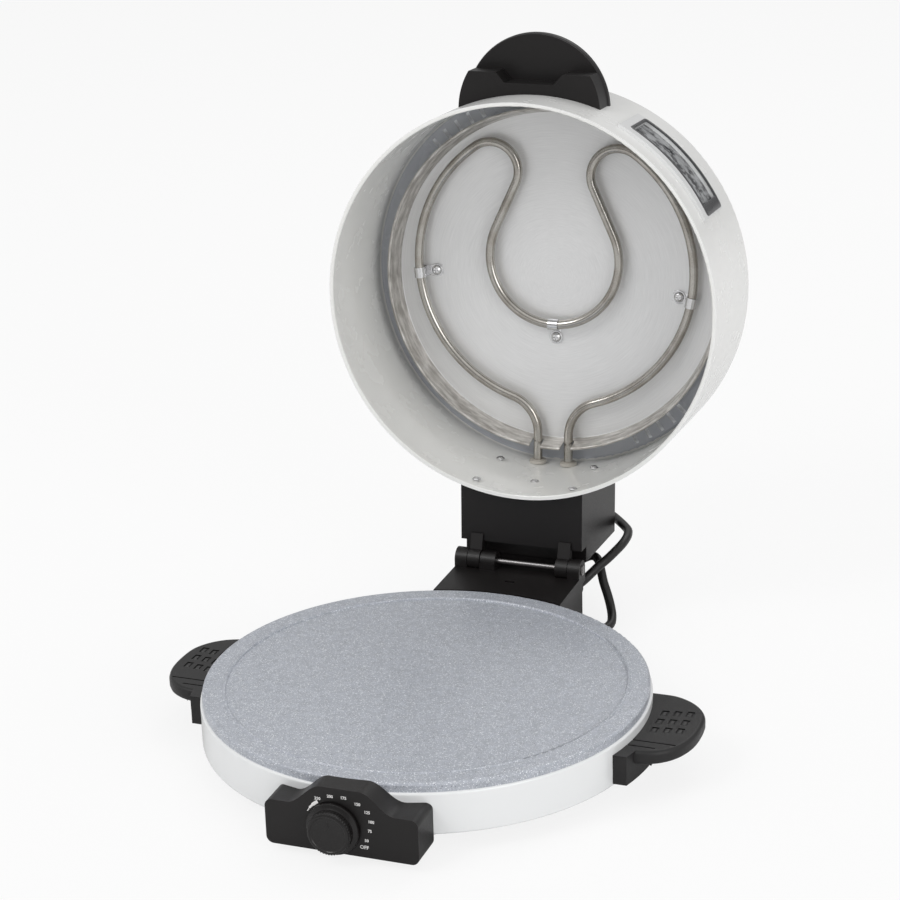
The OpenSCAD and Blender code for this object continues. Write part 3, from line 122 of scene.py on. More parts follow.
class Graph:
    """Adds nodes to one node tree and wires them together."""

    def __init__(self, tree: bpy.types.NodeTree) -> None:
        """Args: tree: the node tree that grows."""
        self.tree = tree

    def node(self, kind: str, inputs: dict | None = None, **settings: object) -> bpy.types.Node:
        """Adds one node.

        Args:
            kind: Blender's name for the node type.
            inputs: socket name or number to a value or to another node's output.
            settings: properties of the node.

        Returns:
            The new node.
        """
        made = self.tree.nodes.new(kind)
        for key, value in settings.items():
            setattr(made, key, value)
        for key, value in (inputs or {}).items():
            self.feed(made.inputs[key], value)
        return made

    def feed(self, socket: bpy.types.NodeSocket, value: object) -> None:
        """Sets a socket to a value, or links it to another node's output."""
        if isinstance(value, bpy.types.NodeSocket):
            self.tree.links.new(value, socket)
        else:
            socket.default_value = value

    def math(self, operation: str, a: object, b: object = 0.0, c: object = 0.0) -> bpy.types.NodeSocket:
        """Adds a Math node.

        Args:
            operation: the node's operation.
            a: first number or output.
            b: second number or output.
            c: third number or output.

        Returns:
            The result's socket.
        """
        return self.node("ShaderNodeMath", {0: a, 1: b, 2: c}, operation=operation).outputs[0]

    def mix(self, share: object, a: object, b: object) -> bpy.types.NodeSocket:
        """Mixes two colours.

        Args:
            share: how much of the second colour shows.
            a: first colour, as a tuple or an output.
            b: second colour, as a tuple or an output.

        Returns:
            The mixed colour's socket.
        """
        return self.node("ShaderNodeMix", {0: share, 6: rgba(a), 7: rgba(b)}, data_type="RGBA").outputs[2]

    def span(self, value: object, low: float, high: float, to_low: float = 0.0,
             to_high: float = 1.0, smooth: bool = False) -> bpy.types.NodeSocket:
        """Maps a number from one range to another, held inside it.

        Args:
            value: the number's output.
            low: start of the first range.
            high: end of the first range.
            to_low: start of the second range.
            to_high: end of the second range.
            smooth: eases in and out of the ends.

        Returns:
            The mapped number's socket.
        """
        made = self.node("ShaderNodeMapRange", {0: value, 1: low, 2: high, 3: to_low, 4: to_high},
                         interpolation_type="SMOOTHSTEP" if smooth else "LINEAR")
        return made.outputs[0]

    def vector(self, operation: str, a: object, b: object = (0.0, 0.0, 0.0)) -> bpy.types.NodeSocket:
        """Returns: the vector output of a new Vector Math node."""
        return self.node("ShaderNodeVectorMath", {0: a, 1: b}, operation=operation).outputs[0]

    def noise(self, vector: bpy.types.NodeSocket, scale: object, detail: float = 2.0,
              rough: float = 0.5) -> bpy.types.NodeSocket:
        """Adds a noise texture.

        Args:
            vector: the place's output.
            scale: how many patches there are to a metre, as a number or an output.
            detail: how many finer layers it has.
            rough: how much each finer layer shows.

        Returns:
            Its Fac output.
        """
        return self.node("ShaderNodeTexNoise", {"Vector": vector, "Scale": scale, "Detail": detail,
                                                "Roughness": rough}).outputs["Fac"]

    def here(self) -> bpy.types.NodeSocket:
        """Returns: the output that gives a point's place on its object."""
        return self.node("ShaderNodeTexCoord").outputs["Object"]

    def parts(self, vector: object) -> bpy.types.bpy_prop_collection:
        """Returns: the outputs that give a vector's x, y and z."""
        return self.node("ShaderNodeSeparateXYZ", {0: vector}).outputs

    def relief(self, shader: bpy.types.Node, strength: float, depth: float, height: object) -> None:
        """Gives a shader a bumped surface.

        Args:
            shader: the Principled node.
            strength: how strongly the relief shows.
            depth: its depth in metres.
            height: the output that draws it.
        """
        bump = self.node("ShaderNodeBump", {"Strength": strength, "Distance": depth, "Height": height})
        self.feed(shader.inputs["Normal"], bump.outputs[0])

    def group(self, tree: bpy.types.NodeTree, **inputs: object) -> bpy.types.Node:
        """Adds a node group.

        Args:
            tree: the group's tree.
            inputs: input names, with spaces written as underscores, to values or outputs.

        Returns:
            The group node.
        """
        made = self.node("ShaderNodeGroup")
        made.node_tree = tree
        for key, value in inputs.items():
            self.feed(made.inputs[key.replace("_", " ")], value)
        return made


def rgba(value: object) -> object:
    """Returns: a colour tuple with its fourth number, or the socket as it is."""
    return (*value, 1.0) if isinstance(value, tuple) and len(value) == 3 else value


def new_group(name: str, takes: list[tuple[str, str, object]], gives: list[tuple[str, str]]
              ) -> tuple[Graph, bpy.types.Node, bpy.types.Node]:
    """Starts a shader node group.

    Args:
        name: the group's name.
        takes: input name, socket type and default value.
        gives: output name and socket type.

    Returns:
        The group's graph, its input node and its output node.
    """
    tree = bpy.data.node_groups.new(name, "ShaderNodeTree")
    for label, kind, value in takes:
        socket = tree.interface.new_socket(name=label, in_out="INPUT", socket_type=kind)
        if value is not None:
            socket.default_value = value
    for label, kind in gives:
        tree.interface.new_socket(name=label, in_out="OUTPUT", socket_type=kind)
    graph = Graph(tree)
    return graph, graph.node("NodeGroupInput"), graph.node("NodeGroupOutput")


class SharedEffects:
    """The shader node groups that several finishes share."""

    def __init__(self) -> None:
        """Builds each group once."""
        self.grain = self._grain()
        self.lid_place = self._lid_place()
        self.turned = self._turned()
        self.sparkle = self._sparkle()

    @staticmethod
    def _grain() -> bpy.types.NodeTree:
        """Returns: a group with fine and broad unevenness for moulded or painted skins."""
        g, given, out = new_group("Skin grain", [("Vector", "NodeSocketVector", None),
                                                 ("Fine", "NodeSocketFloat", 900.0),
                                                 ("Broad", "NodeSocketFloat", 14.0)],
                                  [("Fine mask", "NodeSocketFloat"), ("Broad mask", "NodeSocketFloat"),
                                   ("Height", "NodeSocketFloat")])
        fine = g.noise(given.outputs[0], given.outputs[1], 3.0, 0.55)
        broad = g.noise(given.outputs[0], given.outputs[2], 3.0)
        g.feed(out.inputs[0], fine)
        g.feed(out.inputs[1], g.span(broad, 0.3, 0.7))
        g.feed(out.inputs[2], g.math("MULTIPLY_ADD", fine, 0.8, g.math("MULTIPLY", broad, 0.2)))
        return g.tree

    @staticmethod
    def _lid_place() -> bpy.types.NodeTree:
        """Returns: a group that gives a lid point's place as if the lid were closed."""
        g, _, out = new_group("Closed lid place", [], [("Vector", "NodeSocketVector"),
                                                       ("Radius", "NodeSocketFloat"),
                                                       ("Height", "NodeSocketFloat")])
        here = g.here()
        back = g.node("ShaderNodeMapping", {"Vector": here, "Location": (0.0, HINGE.y, HINGE.z),
                                            "Rotation": (math.radians(-HINGE.degrees), 0.0, 0.0)},
                      vector_type="TEXTURE").outputs[0]
        place = g.vector("ADD", back, (0.0, HINGE.y, HINGE.z))
        parts = g.parts(place)
        flat = g.node("ShaderNodeCombineXYZ", {0: parts[0], 1: parts[1]}).outputs[0]
        length = g.node("ShaderNodeVectorMath", {0: flat}, operation="LENGTH").outputs["Value"]
        g.feed(out.inputs[0], place)
        g.feed(out.inputs[1], length)
        g.feed(out.inputs[2], parts[2])
        return g.tree

    @staticmethod
    def _turned() -> bpy.types.NodeTree:
        """Returns: a group of streaks that run round the z axis, as a lathe leaves them."""
        g, given, out = new_group("Turned streaks", [("Vector", "NodeSocketVector", None),
                                                     ("Across", "NodeSocketFloat", 1500.0),
                                                     ("Around", "NodeSocketFloat", 3.0)],
                                  [("Streak", "NodeSocketFloat"), ("Cloud", "NodeSocketFloat")])
        parts = g.parts(given.outputs[0])
        flat = g.node("ShaderNodeCombineXYZ", {0: parts[0], 1: parts[1]}).outputs[0]
        unit = g.vector("NORMALIZE", flat)
        length = g.node("ShaderNodeVectorMath", {0: flat}, operation="LENGTH").outputs["Value"]
        spread = g.node("ShaderNodeVectorMath", {0: unit}, operation="SCALE")
        g.feed(spread.inputs["Scale"], given.outputs[2])
        run = g.math("MULTIPLY", g.math("ADD", length, parts[2]), given.outputs[1])
        lift = g.node("ShaderNodeCombineXYZ", {2: run}).outputs[0]
        where = g.vector("ADD", spread.outputs[0], lift)
        streak = g.noise(where, 1.0, 4.0, 0.6)
        cloud = g.noise(given.outputs[0], 9.0)
        g.feed(out.inputs[0], streak)
        g.feed(out.inputs[1], g.span(cloud, 0.3, 0.7))
        return g.tree

    @staticmethod
    def _sparkle() -> bpy.types.NodeTree:
        """Returns: a group of small pale flecks of uneven size over a soft mottle."""
        g, given, out = new_group("Sparkle flecks", [("Vector", "NodeSocketVector", None),
                                                     ("Scale", "NodeSocketFloat", 900.0),
                                                     ("Size", "NodeSocketFloat", 0.34)],
                                  [("Fleck", "NodeSocketFloat"), ("Dark", "NodeSocketFloat"),
                                   ("Mottle", "NodeSocketFloat")])
        cells = g.node("ShaderNodeTexVoronoi", {"Vector": given.outputs[0], "Scale": given.outputs[1]})
        pick = g.node("ShaderNodeSeparateColor", {0: cells.outputs["Color"]}).outputs
        reach = g.math("MULTIPLY", given.outputs[2], g.span(pick[0], 0.35, 1.0))
        fleck = g.math("SUBTRACT", reach, cells.outputs["Distance"])
        g.feed(out.inputs[0], g.span(fleck, 0.0, 0.1))
        wide = g.math("MULTIPLY", given.outputs[1], 0.6)
        dark = g.node("ShaderNodeTexVoronoi", {"Vector": given.outputs[0], "Scale": wide})
        choose = g.node("ShaderNodeSeparateColor", {0: dark.outputs["Color"]}).outputs
        hole = g.math("SUBTRACT", g.math("MULTIPLY", 0.42, g.span(choose[1], 0.5, 1.0)), dark.outputs["Distance"])
        g.feed(out.inputs[1], g.span(hole, 0.0, 0.12))
        g.feed(out.inputs[2], g.noise(given.outputs[0], 160.0, 4.0, 0.65))
        return g.tree


EFFECTS = SharedEffects()


# finishes

COAT_ROUGHNESS = 0.08


@dataclass(frozen=True)
class Finish:
    """A plain painted or moulded finish, and the base of the others.

    Attributes:
        name: the material's name.
        colour: base colour, linear.
        rough: middle roughness.
        metallic: 0 for paint and plastic, near 1 for metal.
        fine: how many grains there are to a metre.
        relief: depth of the grain in metres.
        tone: how much broad unevenness darkens the colour.
        coat: weight of a clear coat.
        specular: strength of the plain reflection.
        uneven: how far the roughness strays from its middle.
    """

    name: str
    colour: Colour
    rough: float = 0.5
    metallic: float = 0.0
    fine: float = 900.0
    relief: float = 0.00004
    tone: float = 0.05
    coat: float = 0.0
    specular: float = 0.5
    uneven: float = 0.055

    def material(self) -> bpy.types.Material:
        """Returns: the material, built the first time it is asked for."""
        title = self.name + "_look"
        known = bpy.data.materials.get(title)
        if known:
            return known
        made = bpy.data.materials.new(title)
        made.use_nodes = True
        made.node_tree.nodes.clear()
        graph = Graph(made.node_tree)
        shader = graph.node("ShaderNodeBsdfPrincipled", {
            "Base Color": rgba(self.colour), "Metallic": self.metallic, "Roughness": self.rough,
            "Coat Weight": self.coat, "Coat Roughness": COAT_ROUGHNESS, "Specular IOR Level": self.specular})
        graph.node("ShaderNodeOutputMaterial", {"Surface": shader.outputs[0]})
        self.dress(graph, shader)
        made.diffuse_color = rgba(self.colour)
        return made

    def dress(self, g: Graph, shader: bpy.types.Node) -> None:
        """Wires the finish's own pattern to the shader.

        Args:
            g: the material's graph.
            shader: its Principled node.
        """
        here = g.here()
        grain = g.group(EFFECTS.grain, Vector=here, Fine=self.fine)
        self.skin(g, shader, grain, self.colour)

    def skin(self, g: Graph, shader: bpy.types.Node, grain: bpy.types.Node, colour: object) -> None:
        """Wires colour, roughness and relief from a grain group.

        Args:
            g: the material's graph.
            shader: its Principled node.
            grain: the grain group node.
            colour: base colour, as a tuple or an output.
        """
        shade = g.mix(g.math("MULTIPLY", grain.outputs[1], self.tone), colour, (0.0, 0.0, 0.0))
        g.feed(shader.inputs["Base Color"], shade)
        rough = g.span(grain.outputs[0], 0.3, 0.7, self.rough - self.uneven, self.rough + self.uneven)
        g.feed(shader.inputs["Roughness"], rough)
        g.relief(shader, 0.6, self.relief, grain.outputs[2])


@dataclass(frozen=True)
class PocketMoulding(Finish):
    """Moulded plastic with painted shade down in its pockets and grooves.

    Attributes:
        low: lowest height of the pockets' floor.
        high: height just under the top face.
        depth: painted-shade colour down in the pockets.
    """

    low: float = 36.2 * MM
    high: float = 36.8 * MM
    depth: Colour = (0.001, 0.001, 0.001)

    def dress(self, g: Graph, shader: bpy.types.Node) -> None:
        """Wires grain and the pockets' painted shade; see Finish.dress."""
        here = g.here()
        height = g.parts(here)[2]
        grain = g.group(EFFECTS.grain, Vector=here, Fine=self.fine)
        # painted shade: points between the pocket floor and just under the top face take the near-black colour
        mask = g.math("MULTIPLY", g.math("GREATER_THAN", height, self.low),
                      g.math("LESS_THAN", height, self.high))
        self.skin(g, shader, grain, g.mix(g.math("MULTIPLY", mask, 0.75), self.colour, self.depth))


@dataclass(frozen=True)
class LidEnamel(Finish):
    """White baked paint, with painted shade inside the lid: a blue-grey ring where the inner top shows beyond the
    reflector, and a darker, warmer inner wall.

    Attributes:
        ring: darker colour of the painted-shade ring.
        ring_pale: paler colour of the painted-shade ring.
        inside: colour of the lid's inner wall, darker and warmer than the paint outside, as painted shade.
        wall: how far inside the outer radius the inner wall's painted shade starts.
    """

    ring: Colour = (0.47, 0.49, 0.54)
    ring_pale: Colour = (0.56, 0.58, 0.62)
    inside: Colour = (0.84, 0.84, 0.815)
    wall: float = 0.9 * MM

    def dress(self, g: Graph, shader: bpy.types.Node) -> None:
        """Wires paint with the painted shade of the inner ring and the inner wall; see Finish.dress."""
        place = g.group(EFFECTS.lid_place)
        grain = g.group(EFFECTS.grain, Vector=place.outputs[0], Fine=self.fine)
        # painted shade: the inner top ring, just under the closed lid's top and inside its wall, takes a clouded
        # blue-grey
        high = g.math("GREATER_THAN", place.outputs["Height"], LID.top - 1.9 * MM)
        under = g.math("LESS_THAN", place.outputs["Height"], LID.top - 0.9 * MM)
        inner = g.math("LESS_THAN", place.outputs["Radius"], LID.radius - 1.1 * MM)
        mask = g.math("MULTIPLY", g.math("MULTIPLY", high, under), inner)
        cloud = g.mix(grain.outputs[1], self.ring, self.ring_pale)
        # painted shade: the inner wall takes a darker, warmer colour than the outside
        inside = g.math("LESS_THAN", place.outputs["Radius"], LID.radius - self.wall)
        shaded_wall = g.mix(g.math("MULTIPLY", inside, 0.9), self.colour, self.inside)
        self.skin(g, shader, grain, g.mix(mask, shaded_wall, cloud))


@dataclass(frozen=True)
class SpeckledCoating(Finish):
    """Blue-grey non-stick coating full of fine pale flecks.

    Attributes:
        fleck: colour of the flecks.
        pit: colour of the small dark pits.
        pale: how much paler than its colour the ground gets.
    """

    fleck: Colour = (0.92, 0.94, 0.96)
    pit: Colour = (0.17, 0.185, 0.215)
    pale: float = 1.22

    def dress(self, g: Graph, shader: bpy.types.Node) -> None:
        """Wires flecks, pits and mottle; see Finish.dress."""
        here = g.here()
        large = g.group(EFFECTS.sparkle, Vector=here, Scale=1250.0, Size=0.56)
        small = g.group(EFFECTS.sparkle, Vector=here, Scale=2300.0, Size=0.50)
        mottle = tuple(min(1.0, c * self.pale) for c in self.colour)
        ground = g.mix(g.span(large.outputs[2], 0.35, 0.65), self.colour, mottle)
        dark = g.mix(g.math("MULTIPLY", large.outputs[1], 0.8), ground, self.pit)
        flecks = g.math("MAXIMUM", large.outputs[0], g.math("MULTIPLY", small.outputs[0], 0.7))
        g.feed(shader.inputs["Base Color"], g.mix(g.math("MULTIPLY", flecks, 0.85), dark, self.fleck))
        g.feed(shader.inputs["Roughness"],
               g.span(large.outputs[2], 0.3, 0.7, self.rough - 0.08, self.rough + 0.08))
        g.feed(shader.inputs["Metallic"], g.math("MULTIPLY", flecks, 0.25))
        height = g.math("SUBTRACT", flecks, large.outputs[1])
        g.relief(shader, 0.5, self.relief, height)


@dataclass(frozen=True)
class SpunAluminium(Finish):
    """Spun aluminium: a satin disc and a darker streaked side band.

    Attributes:
        band: dark colour of the band's streaks.
        band_pale: pale colour of the band's streaks.
        cloud: colour of the disc's faint clouds.
        disc_radius: where the disc ends and the band starts.
    """

    band: Colour = (0.34, 0.32, 0.295)
    band_pale: Colour = (0.66, 0.64, 0.61)
    cloud: Colour = (0.5, 0.5, 0.51)
    disc_radius: float = 127.6 * MM

    def dress(self, g: Graph, shader: bpy.types.Node) -> None:
        """Wires turned streaks and the darker band; see Finish.dress."""
        place = g.group(EFFECTS.lid_place)
        streak = g.group(EFFECTS.turned, Vector=place.outputs[0], Across=2400.0, Around=5.0)
        coarse = g.group(EFFECTS.turned, Vector=place.outputs[0], Across=420.0, Around=9.0)
        side = g.math("MULTIPLY", g.math("GREATER_THAN", place.outputs["Radius"], self.disc_radius),
                      g.math("LESS_THAN", place.outputs["Height"], LID.floor - 0.9 * MM))
        disc = g.mix(g.span(streak.outputs[0], 0.3, 0.7), self.colour, tuple(c * 0.9 for c in self.colour))
        wall = g.mix(g.span(coarse.outputs[0], 0.36, 0.64), self.band, self.band_pale)
        clouded = g.mix(g.math("MULTIPLY", streak.outputs[1], 0.1), disc, self.cloud)
        g.feed(shader.inputs["Base Color"], g.mix(side, clouded, wall))
        g.feed(shader.inputs["Roughness"],
               g.span(streak.outputs[0], 0.25, 0.75, self.rough - 0.07, self.rough + 0.09))
        g.relief(shader, 0.35, self.relief, streak.outputs[0])


@dataclass(frozen=True)
class SpangledSheet(Finish):
    """Galvanised sheet with its large dull crystals."""

    def dress(self, g: Graph, shader: bpy.types.Node) -> None:
        """Wires crystal patches; see Finish.dress."""
        here = g.here()
        cells = g.node("ShaderNodeTexVoronoi", {"Vector": here, "Scale": 130.0})
        tone = g.node("ShaderNodeSeparateColor", {0: cells.outputs["Color"]}).outputs[0]
        g.feed(shader.inputs["Base Color"], g.mix(tone, self.colour, tuple(c * 0.72 for c in self.colour)))
        g.feed(shader.inputs["Roughness"], g.span(tone, 0.0, 1.0, self.rough - 0.1, self.rough + 0.1))
        grain = g.group(EFFECTS.grain, Vector=here, Fine=self.fine)
        g.relief(shader, 0.4, self.relief, grain.outputs[2])


@dataclass(frozen=True)
class BrushedMetal(Finish):
    """Drawn or plated metal with fine scratches and heat stains.

    Attributes:
        stain: colour of the stained patches.
        stained: how much of the surface they take.
    """

    stain: Colour = (0.3, 0.28, 0.26)
    stained: float = 0.25

    def dress(self, g: Graph, shader: bpy.types.Node) -> None:
        """Wires scratches and stains; see Finish.dress."""
        here = g.here()
        grain = g.group(EFFECTS.grain, Vector=here, Fine=self.fine, Broad=60.0)
        stains = g.math("MULTIPLY", g.span(grain.outputs[1], 0.25, 0.9, smooth=True), self.stained)
        shade = g.mix(stains, self.colour, self.stain)
        scratched = g.mix(g.math("MULTIPLY", grain.outputs[0], 0.25), shade, (0.02, 0.02, 0.02))
        g.feed(shader.inputs["Base Color"], scratched)
        g.feed(shader.inputs["Roughness"],
               g.span(grain.outputs[0], 0.3, 0.7, self.rough - 0.06, self.rough + 0.08))
        g.relief(shader, 0.4, self.relief, grain.outputs[0])


@dataclass(frozen=True)
class WindowGlass(Finish):
    """Curved window glass with dark and pale streaks along it, which are painted reflections."""

    # pale: colour of the painted reflection streaks
    pale: Colour = (0.50, 0.51, 0.52)

    def dress(self, g: Graph, shader: bpy.types.Node) -> None:
        """Wires the painted reflection streaks and how far the glass can be seen through; see Finish.dress."""
        place = g.group(EFFECTS.lid_place)
        turn = (0.0, 0.0, math.radians(-45.0))
        across = g.node("ShaderNodeMapping", {"Vector": place.outputs[0], "Rotation": turn,
                                              "Scale": (0.2, 1.0, 1.0)}).outputs[0]
        reflection_waves = g.noise(across, 130.0, 3.0, 0.6)
        fine = g.noise(across, 420.0, 2.0, 0.5)
        tone = g.span(g.math("MULTIPLY_ADD", fine, 0.45, reflection_waves), 0.60, 0.86, smooth=True)
        # painted reflections: the streaks mix the pale colour into the dark glass
        g.feed(shader.inputs["Base Color"], g.mix(tone, self.colour, self.pale))
        g.feed(shader.inputs["Alpha"], g.span(tone, 0.0, 1.0, 0.90, 0.72))
        g.feed(shader.inputs["Roughness"], g.span(reflection_waves, 0.3, 0.7, self.rough, self.rough + 0.12))
        g.relief(shader, 0.5, self.relief, reflection_waves)


class Finishes:
    """All finishes of the machine, by what they are on."""

    body_paint = Finish("white_body_enamel", (0.86, 0.87, 0.875), 0.24, fine=40.0, relief=0.0000003,
                        tone=0.015, uneven=0.01, coat=0.4)
    lid_paint = LidEnamel("white_lid_enamel", (0.86, 0.86, 0.845), 0.27, fine=40.0, relief=0.0000003,
                          tone=0.015, uneven=0.01, coat=0.35)
    # the hoods' enamel is greyer and bluer than the lid's paint: painted shade on the hoods, seen through the vent
    # slots
    shaded_lid_hood = Finish("shaded_hood_enamel", (0.74, 0.755, 0.785), 0.3, fine=40.0, relief=0.000001,
                      tone=0.05, uneven=0.01, coat=0.2)
    coating = SpeckledCoating("speckled_plate_coating", (0.36, 0.38, 0.425), 0.36, relief=0.00006, coat=0.15)
    reflector = SpunAluminium("spun_reflector", (0.84, 0.84, 0.84), 0.38, 0.45, relief=0.00001)
    tube = BrushedMetal("heat_dulled_tube", (0.52, 0.50, 0.465), 0.20, 0.95, fine=1500.0,
                        relief=0.000008, stain=(0.30, 0.265, 0.225), stained=0.5)
    bright = BrushedMetal("bright_steel", (0.80, 0.80, 0.81), 0.18, 1.0, fine=2200.0, relief=0.00001,
                          stained=0.15)
    zinc = BrushedMetal("zinc_plated_steel", (0.60, 0.60, 0.62), 0.3, 1.0, fine=1600.0, relief=0.00002,
                        stained=0.3)
    pin = BrushedMetal("dull_pin_steel", (0.30, 0.29, 0.29), 0.34, 1.0, fine=1600.0, relief=0.00002,
                       stained=0.3)
    sheet = SpangledSheet("galvanised_sheet", (0.62, 0.63, 0.65), 0.42, 0.85, relief=0.00002)
    moulding = Finish("black_moulding", (0.0085, 0.0072, 0.0072), 0.40, fine=1700.0, relief=0.00003,
                      tone=0.2, specular=0.35)
    paddle = PocketMoulding("grey_black_moulding", (0.016, 0.0152, 0.0155), 0.46, fine=1400.0,
                            relief=0.00004, tone=0.2, specular=0.35)
    knob = Finish("knob_moulding", (0.0075, 0.0062, 0.0062), 0.30, fine=1900.0, relief=0.00002,
                  tone=0.15, coat=0.15, specular=0.35)
    paddle_pad = Finish("paddle_pad_moulding", (0.016, 0.0152, 0.0155), 0.46, fine=1400.0,
                        relief=0.00004, tone=0.2)
    rubber = Finish("foot_rubber", (0.018, 0.018, 0.018), 0.78, fine=1100.0, relief=0.00008, tone=0.3)
    sleeve = Finish("lead_sleeve", (0.012, 0.0112, 0.0112), 0.36, fine=1300.0, relief=0.00002,
                    tone=0.2, specular=0.35)
    plug = Finish("plug_moulding", (0.012, 0.0112, 0.0112), 0.42, fine=1500.0, relief=0.00004,
                  tone=0.2, specular=0.35)
    strap = Finish("tie_strap", (0.03, 0.03, 0.032), 0.85, fine=800.0, relief=0.0002, tone=0.3)
    brass = BrushedMetal("plug_pins", (0.72, 0.6, 0.33), 0.26, 1.0, fine=2000.0, relief=0.00001,
                         stained=0.2)
    insulator = Finish("moulded_insulator", (0.62, 0.58, 0.46), 0.5, fine=1200.0, relief=0.00004,
                       tone=0.1)
    ceramic = Finish("fired_ceramic", (0.56, 0.53, 0.48), 0.62, fine=1500.0, relief=0.00006, tone=0.15)
    surround = Finish("pale_window_surround", (0.78, 0.785, 0.785), 0.22, fine=300.0, relief=0.000005,
                      tone=0.05, coat=0.3)
    window_frame = Finish("dark_window_frame", (0.040, 0.041, 0.044), 0.30, fine=600.0, relief=0.00001,
                          tone=0.3, coat=0.1)
    glass = WindowGlass("window_glass", (0.012, 0.014, 0.018), 0.05, relief=0.00008, coat=0.3)
    print_white = Finish("dial_print", (0.90, 0.89, 0.88), 0.6, fine=2500.0, relief=0.00001, tone=0.1)


# what each CAD node is finished in; the others are zinc plated
CAD_FINISHES: dict[str, Finish] = {node: finish for finish, nodes in (
    (Finishes.body_paint, "base_shell"),
    (Finishes.lid_paint, "lid_shell"),
    (Finishes.coating, "cooking_plate"),
    (Finishes.reflector, "upper_reflector lower_reflector"),
    (Finishes.tube, "upper_element lower_element"),
    (Finishes.sheet, "bottom_cover element_straps plate_spacers reflector_spacers window_clips"),
    (Finishes.bright, "element_clips clip_screws arm_screws lid_handle_screws"),
    (Finishes.pin, "hinge_pin pin_clips"),
    (Finishes.ceramic, "element_bushings"),
    (Finishes.brass, "element_terminals plug_pins"),
    (Finishes.insulator, "thermostat_body terminal_block"),
    (Finishes.rubber, "base_feet bracket_feet"),
    (Finishes.moulding, "bracket_plate"),
    (Finishes.glass, "window_glass"),
) for node in nodes.split()}


# meshes

DOUBLES = 2e-6  # vertices nearer than this, in metres, are one vertex


def shown(name: str, mesh: bpy.types.Mesh, finish: Finish | None = None) -> bpy.types.Object:
    """Puts a mesh in the scene.

    Args:
        name: the piece's name.
        mesh: the mesh, already in its place.
        finish: the finish, where the mesh has none yet.

    Returns:
        The new object.
    """
    made = bpy.data.objects.new(name, mesh)
    mesh.name = name
    bpy.context.scene.collection.objects.link(made)
    if finish is not None:
        mesh.materials.clear()
        mesh.materials.append(finish.material())
    return made


def baked(source: bpy.types.Object, name: str) -> bpy.types.Object:
    """Turns an object with modifiers into a plain one.

    Args:
        source: the object, which is removed.
        name: the plain object's name.

    Returns:
        The plain object.
    """
    bpy.context.view_layer.update()
    mesh = bpy.data.meshes.new_from_object(source.evaluated_get(bpy.context.evaluated_depsgraph_get()))
    old = source.data
    bpy.data.objects.remove(source)
    if old.users == 0:
        bpy.data.meshes.remove(old)
    return shown(name, mesh)


def settle(piece: bpy.types.Object, body: Body, slot: Slot, *nodes: str) -> bpy.types.Object:
    """Makes a piece ride on its body, and stand for CAD nodes if any are named.

    Args:
        piece: the finished piece.
        body: the body that carries it.
        slot: not used.
        nodes: the CAD nodes that it stands for.

    Returns:
        The piece.
    """
    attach(piece, body.value)
    if nodes:
        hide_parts(*nodes)
    log.info("%s rides on %s, %d faces", piece.name, body.value, len(piece.data.polygons))
    return piece


def closed_mesh(bm: bmesh.types.BMesh, name: str, place: Matrix | None = None) -> bpy.types.Mesh:
    """Turns a built shape into a mesh with its faces outwards.

    Args:
        bm: the shape, which is freed.
        name: the mesh's name.
        place: moves the shape to its place.

    Returns:
        The mesh.
    """
    bmesh.ops.recalc_face_normals(bm, faces=bm.faces)
    if place is not None:
        bm.transform(place)
    mesh = bpy.data.meshes.new(name)
    bm.to_mesh(mesh)
    bm.free()
    return mesh


def lathe(profile: list[tuple[float, float]], place: Matrix, steps: int) -> bpy.types.Mesh:
    """Turns a closed half profile round an axis.

    Args:
        profile: radius and height of each point, from the axis at the bottom to the axis at the top,
            in metres.
        place: moves the shape from the z axis to its place.
        steps: number of steps round.

    Returns:
        The closed mesh, with its faces outwards.
    """
    bm = bmesh.new()
    rings = []
    for radius, height in profile:
        if radius == 0.0:
            rings.append([bm.verts.new((0.0, 0.0, height))])
        else:
            turns = [2 * math.pi * k / steps for k in range(steps)]
            rings.append([bm.verts.new((radius * math.cos(a), radius * math.sin(a), height)) for a in turns])
    for low, high in zip(rings, rings[1:]):
        for k in range(steps):
            n = (k + 1) % steps
            corner = [low[k % len(low)], low[n % len(low)], high[n % len(high)], high[k % len(high)]]
            seen = list(dict.fromkeys(corner))
            if len(seen) > 2:
                bm.faces.new(seen)
    mesh = closed_mesh(bm, "turned", place)
    smooth(mesh, 32.0)
    return mesh


def smooth(mesh: bpy.types.Mesh, degrees: float) -> None:
    """Shades a mesh smooth, but for edges sharper than the angle."""
    mesh.polygons.foreach_set("use_smooth", [True] * len(mesh.polygons))
    mesh.set_sharp_from_angle(angle=math.radians(degrees))


def lofted(loops: list[list[Point]], place: Matrix | None = None) -> bpy.types.Mesh:
    """Joins loops of equally many points into one closed mesh.

    Args:
        loops: the outlines, one after another, in millimetres.
        place: moves the shape, already in metres, to its place.

    Returns:
        The closed mesh, with its faces outwards.
    """
    bm = bmesh.new()
    rows = [[bm.verts.new(Vector(p) * MM) for p in loop] for loop in loops]
    for a, b in zip(rows, rows[1:]):
        for k in range(len(a)):
            n = (k + 1) % len(a)
            bm.faces.new((a[k], a[n], b[n], b[k]))
    bm.faces.new(rows[0])
    bm.faces.new(rows[-1])
    return closed_mesh(bm, "lofted", place)


def prism(outline: list[tuple[float, float]], low: float, high: float,
          place: Matrix | None = None) -> bpy.types.Mesh:
    """Returns: an outline in millimetres drawn up from low to high."""
    return lofted([[(x, y, z) for x, y in outline] for z in (low, high)], place)


def block(x: tuple[float, float], y: tuple[float, float], z: tuple[float, float],
          place: Matrix | None = None) -> bpy.types.Mesh:
    """Returns: a box between two places on each axis, in millimetres."""
    return prism([(x[0], y[0]), (x[1], y[0]), (x[1], y[1]), (x[0], y[1])], *z, place)


